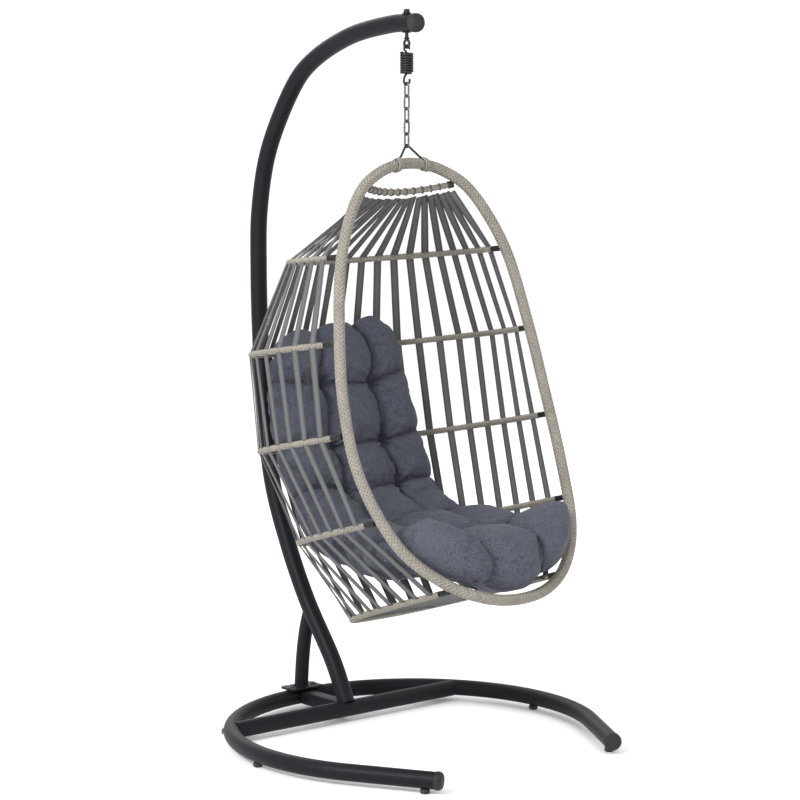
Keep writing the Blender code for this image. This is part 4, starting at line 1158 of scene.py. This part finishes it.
def seams(share, across, run):
    """Depth pulled in by the seams, distances to the nearest seam and tuft, and the angle round the tuft."""
    half = across / np.where(np.abs(share) < 1e-6, 1e-6, share)
    to_seam = np.full(len(run), 1.0)
    depth = np.zeros(len(run))
    for column in COLUMN_SEAMS:
        gap = np.abs(across - column * half - column_line(column, run))
        to_seam = np.minimum(to_seam, gap)
        depth = np.maximum(depth, SEAM_DEPTH * np.exp(-gap / 0.020))
    for row, deep in zip(ROW_SEAMS, ROW_DEPTHS):
        gap = np.abs(run - row - row_line(row, share))
        to_seam = np.minimum(to_seam, gap)
        fade = np.clip(1.55 - np.abs(share), 0.25, 1)
        depth = np.maximum(depth, deep * fade * np.exp(-gap / 0.018))
    to_tuft = np.full(len(run), 1.0)
    angle = np.zeros(len(run))
    for column in COLUMN_SEAMS:
        for row in ROW_SEAMS:
            spot = row + row_line(row, np.array([column]))[0]
            dx = across - column * half - column_line(column, spot)
            dy = run - spot
            distance = np.hypot(dx, dy)
            closer = distance < to_tuft
            to_tuft = np.where(closer, distance, to_tuft)
            angle = np.where(closer, np.arctan2(dy, dx) + row * 7.0 + column, angle)
    depth += TUFT_DEPTH * np.exp(-(to_tuft / 0.028) ** 2)
    return depth, to_seam, to_tuft, angle


def mesh_arrays(mesh):
    """A mesh's points and normals."""
    points = np.empty(len(mesh.vertices) * 3)
    mesh.vertices.foreach_get("co", points)
    normals = np.empty(len(mesh.vertices) * 3)
    mesh.vertices.foreach_get("normal", normals)
    return points.reshape(-1, 3), normals.reshape(-1, 3)


def apply_modifiers(obj):
    """Bakes an object's modifiers into its mesh."""
    graph = bpy.context.evaluated_depsgraph_get()
    mesh = bpy.data.meshes.new_from_object(obj.evaluated_get(graph))
    obj.modifiers.clear()
    obj.data = mesh


def keep_clear(points, line, radius):
    """Moves points that are within radius of a line out to that radius."""
    line = np.array([tuple(point) for point in line])
    low = line.min(0) - radius
    high = line.max(0) + radius
    near = np.where(np.all((points > low) & (points < high), 1))[0]
    for start in range(0, len(near), 4000):
        chosen = near[start:start + 4000]
        gap = points[chosen][:, None] - line[None]
        distance = np.linalg.norm(gap, axis=2)
        best = np.argmin(distance, 1)
        rows = np.arange(len(chosen))
        least = distance[rows, best]
        inside = least < radius
        pick = chosen[inside]
        points[pick] = line[best[inside]] + gap[rows, best][inside] / least[inside, None] * radius


def pad():
    """The tufted pad: a shell, swollen by simulation between its seams, then wrinkled and stitched."""
    stations = pad_stations(160)
    s, values, along, face = stations
    sides = 72
    angle = 2 * np.pi * (np.arange(sides) + 0.5) / sides
    cosine = np.cos(angle)
    sine = np.sin(angle)
    power = np.where(sine > 0, 2 / 2.6, 2 / 2.9)
    end = np.clip(np.minimum((s + 0.004) / 0.036, (s[-1] - s) / 0.055), 0, 1)
    round_end = np.sqrt(np.clip(1 - (1 - end) ** 2, 0.04, 1))
    half = values[:, 2] - PAD_INSET
    upper = np.clip((s - 0.86) / 0.22, 0, 1)
    front = np.maximum(values[:, 3] - PAD_INSET, 0.012) * round_end
    fuller = 0.018 * np.exp(-((s - 0.86) / 0.18) ** 2)
    behind = np.maximum(values[:, 4] - PAD_INSET + fuller, 0.012) * round_end
    shape = np.sign(cosine) * np.abs(cosine) ** power
    corner = np.exp(-((s - 0.03) / 0.10) ** 2)
    valley = np.exp(-((s - 0.28) / 0.09) ** 2)
    x = shape[None] * (half * (1 - 0.055 * upper - 0.045 * corner))[:, None] - 0.008 * upper[:, None]
    thick = np.where(sine[None] > 0, front[:, None], behind[:, None])
    up = (np.sign(sine) * np.abs(sine) ** power)[None] * thick
    nose = np.exp(-((s - 0.085) / 0.095) ** 2)[:, None]
    up += nose * np.where(sine[None] > 0, 0.012 * np.abs(shape[None]) ** 1.5, -0.006)
    top = np.clip((s - 0.94) / 0.20, 0, 1)[:, None] ** 1.5 * (0.008 + 0.012 * (1 - shape[None]))
    yz = values[:, None, :2] + face[:, None] * up[..., None] - along[:, None] * top[..., None]
    edge = (values[:, 5] + 0.026 * corner - 0.016 * valley)[:, None]
    yz[..., 1] += edge * shape[None] ** 2 - 0.006 * valley[:, None]
    yz[..., 0] += (PAD_SET_BACK * values[:, 5, None] + 0.014 * corner[:, None]) * shape[None] ** 2
    verts = np.concatenate([x[..., None], yz], -1).reshape(-1, 3)
    bm = bmesh.new()
    made = [bm.verts.new(v) for v in verts]
    for quad in grid_quads(len(s), sides):
        bm.faces.new([made[i] for i in quad])
    bm.faces.new(made[:sides])
    bm.faces.new(made[-sides:])
    bmesh.ops.recalc_face_normals(bm, faces=bm.faces)
    obj = finished(bm, "tufted_pad")
    remesh = obj.modifiers.new("even", "REMESH")
    remesh.mode = "VOXEL"
    remesh.voxel_size = 0.0062
    apply_modifiers(obj)

    points, normals = mesh_arrays(obj.data)
    share, across, run, out = pad_place(points, stations)
    depth, to_seam, to_tuft, around = seams(share, across, run)
    on_front = np.clip(0.5 + out / 0.05, 0, 1)
    points -= normals * (depth * (0.50 + 0.50 * on_front))[:, None]
    obj.data.vertices.foreach_set("co", points.ravel())
    obj.data.update()

    held = np.where((to_seam < 0.0042) | (to_tuft < 0.010))[0]
    group = obj.vertex_groups.new(name="sewn")
    group.add([int(index) for index in held], 1.0, "REPLACE")
    cloth = obj.modifiers.new("swell", "CLOTH")
    cloth.settings.use_pressure = True
    cloth.settings.uniform_pressure_force = 4.0
    cloth.settings.effector_weights.gravity = 0.0
    cloth.settings.vertex_group_mass = "sewn"
    cloth.settings.shrink_min = -0.075
    cloth.settings.quality = 4
    cloth.settings.mass = 0.35
    cloth.settings.tension_stiffness = 14.0
    cloth.settings.compression_stiffness = 10.0
    cloth.settings.shear_stiffness = 6.0
    cloth.settings.bending_stiffness = 0.6
    cloth.collision_settings.use_collision = False
    for number in range(1, 21):
        bpy.context.scene.frame_set(number)
    apply_modifiers(obj)
    bpy.context.scene.frame_set(1)
    swollen, _ = mesh_arrays(obj.data)
    moved = swollen - points
    size = np.linalg.norm(moved, axis=1, keepdims=True)
    points = points + moved * np.minimum(1, PAD_SWELL / np.maximum(size, 1e-9))
    obj.data.vertices.foreach_set("co", points.ravel())
    obj.data.update()
    smooth = obj.modifiers.new("fine", "SUBSURF")
    smooth.levels = 1
    apply_modifiers(obj)

    points, normals = mesh_arrays(obj.data)
    share, across, run, out = pad_place(points, stations)
    depth, to_seam, to_tuft, around = seams(share, across, run)
    radiate = np.cos(around * 7.0 + 2.0 * np.sin(around * 2.0)) * np.exp(-to_tuft / 0.042) * np.clip(
        to_tuft / 0.012, 0, 1)
    sewn = np.cos(run * 420.0 + across * 300.0) * np.exp(-to_seam / 0.009)
    crease = 0.0016 * np.exp(-(to_seam / 0.0030) ** 2)
    points += normals * (0.0052 * radiate + 0.0012 * sewn - crease)[:, None]
    for line, radius in [(hoop_line(), HOOP_R + 0.0022)] + [(rib, RIB_R + 0.0045) for rib in RIB_FINE]:
        dense, _ = resampled(line, 0.004, False)
        keep_clear(points, [Vector(q) for q in dense], radius)
    obj.data.vertices.foreach_set("co", points.ravel())
    obj.data.update()
    place = obj.data.attributes.new("cloth", "FLOAT_VECTOR", "POINT")
    place.data.foreach_set("vector", np.stack([across, run, out], -1).astype(np.float32).ravel())
    # Mask of painted shade for the creases: strongest at the seams and tufts, weaker in the wrinkle valleys.
    shade = obj.data.attributes.new("crease_shade", "FLOAT", "POINT")
    deep = np.maximum(np.exp(-to_seam / 0.006), np.exp(-(to_tuft / 0.018) ** 2))
    deep = np.maximum(deep, 0.55 * np.clip(-radiate, 0, 1))
    shade.data.foreach_set("value", deep.astype(np.float32))
    obj.data.shade_smooth()
    hand_in(paint(obj, CLOTH), "basket", "canvas", "seat_pad")


# ---------------------------------------------------------------- stage
def stage():
    """Floor, lights and the camera."""
    bpy.ops.mesh.primitive_plane_add(size=40, location=(0, 0, 0))
    floor = bpy.context.active_object
    floor.name = "studio_floor"
    g = Graph("studio_floor")
    tint = g.noise(g.coords(), 0.6, 2.0)
    g.set(Base_Color=g.mix(tint, (0.90, 0.90, 0.90), (0.94, 0.94, 0.94)), Roughness=0.9)
    paint(floor, g.material)

    world = bpy.data.worlds.new("studio")
    bpy.context.scene.world = world
    world.use_nodes = True
    world.node_tree.nodes["Background"].inputs["Color"].default_value = (1.0, 1.0, 1.0, 1.0)
    world.node_tree.nodes["Background"].inputs["Strength"].default_value = 1.10
    bpy.context.scene.view_settings.view_transform = "Standard"

    for name, place, size, power, target in (
            ("key", (-4.4, -0.9, 3.4), 1.5, 250.0, (0, 0, 0.9)),
            ("front", (-0.6, -5.0, 3.4), 2.0, 70.0, (0, 0, 0.9)),
            ("rim", (1.5, 4.2, 3.4), 2.4, 50.0, (0, 0, 1.1))):
        light = bpy.data.lights.new(name, "AREA")
        light.size = size
        light.energy = power
        lamp = bpy.data.objects.new(name, light)
        lamp.location = place
        lamp.rotation_euler = (Vector(target) - Vector(place)).to_track_quat("-Z", "Y").to_euler()
        bpy.context.scene.collection.objects.link(lamp)

    camera = bpy.data.cameras.new("camera")
    camera.lens = CAMERA_LENS
    camera.sensor_width = 36.0
    camera.clip_end = 100.0
    eye = bpy.data.objects.new("camera", camera)
    eye.location = CAMERA_AT
    eye.rotation_euler = Vector(CAMERA_LOOK).to_track_quat("-Z", "Y").to_euler()
    bpy.context.scene.collection.objects.link(eye)
    bpy.context.scene.camera = eye


stand()
pole()
hanger()
bail()
basket_bars()
straps()
pad()
stage()
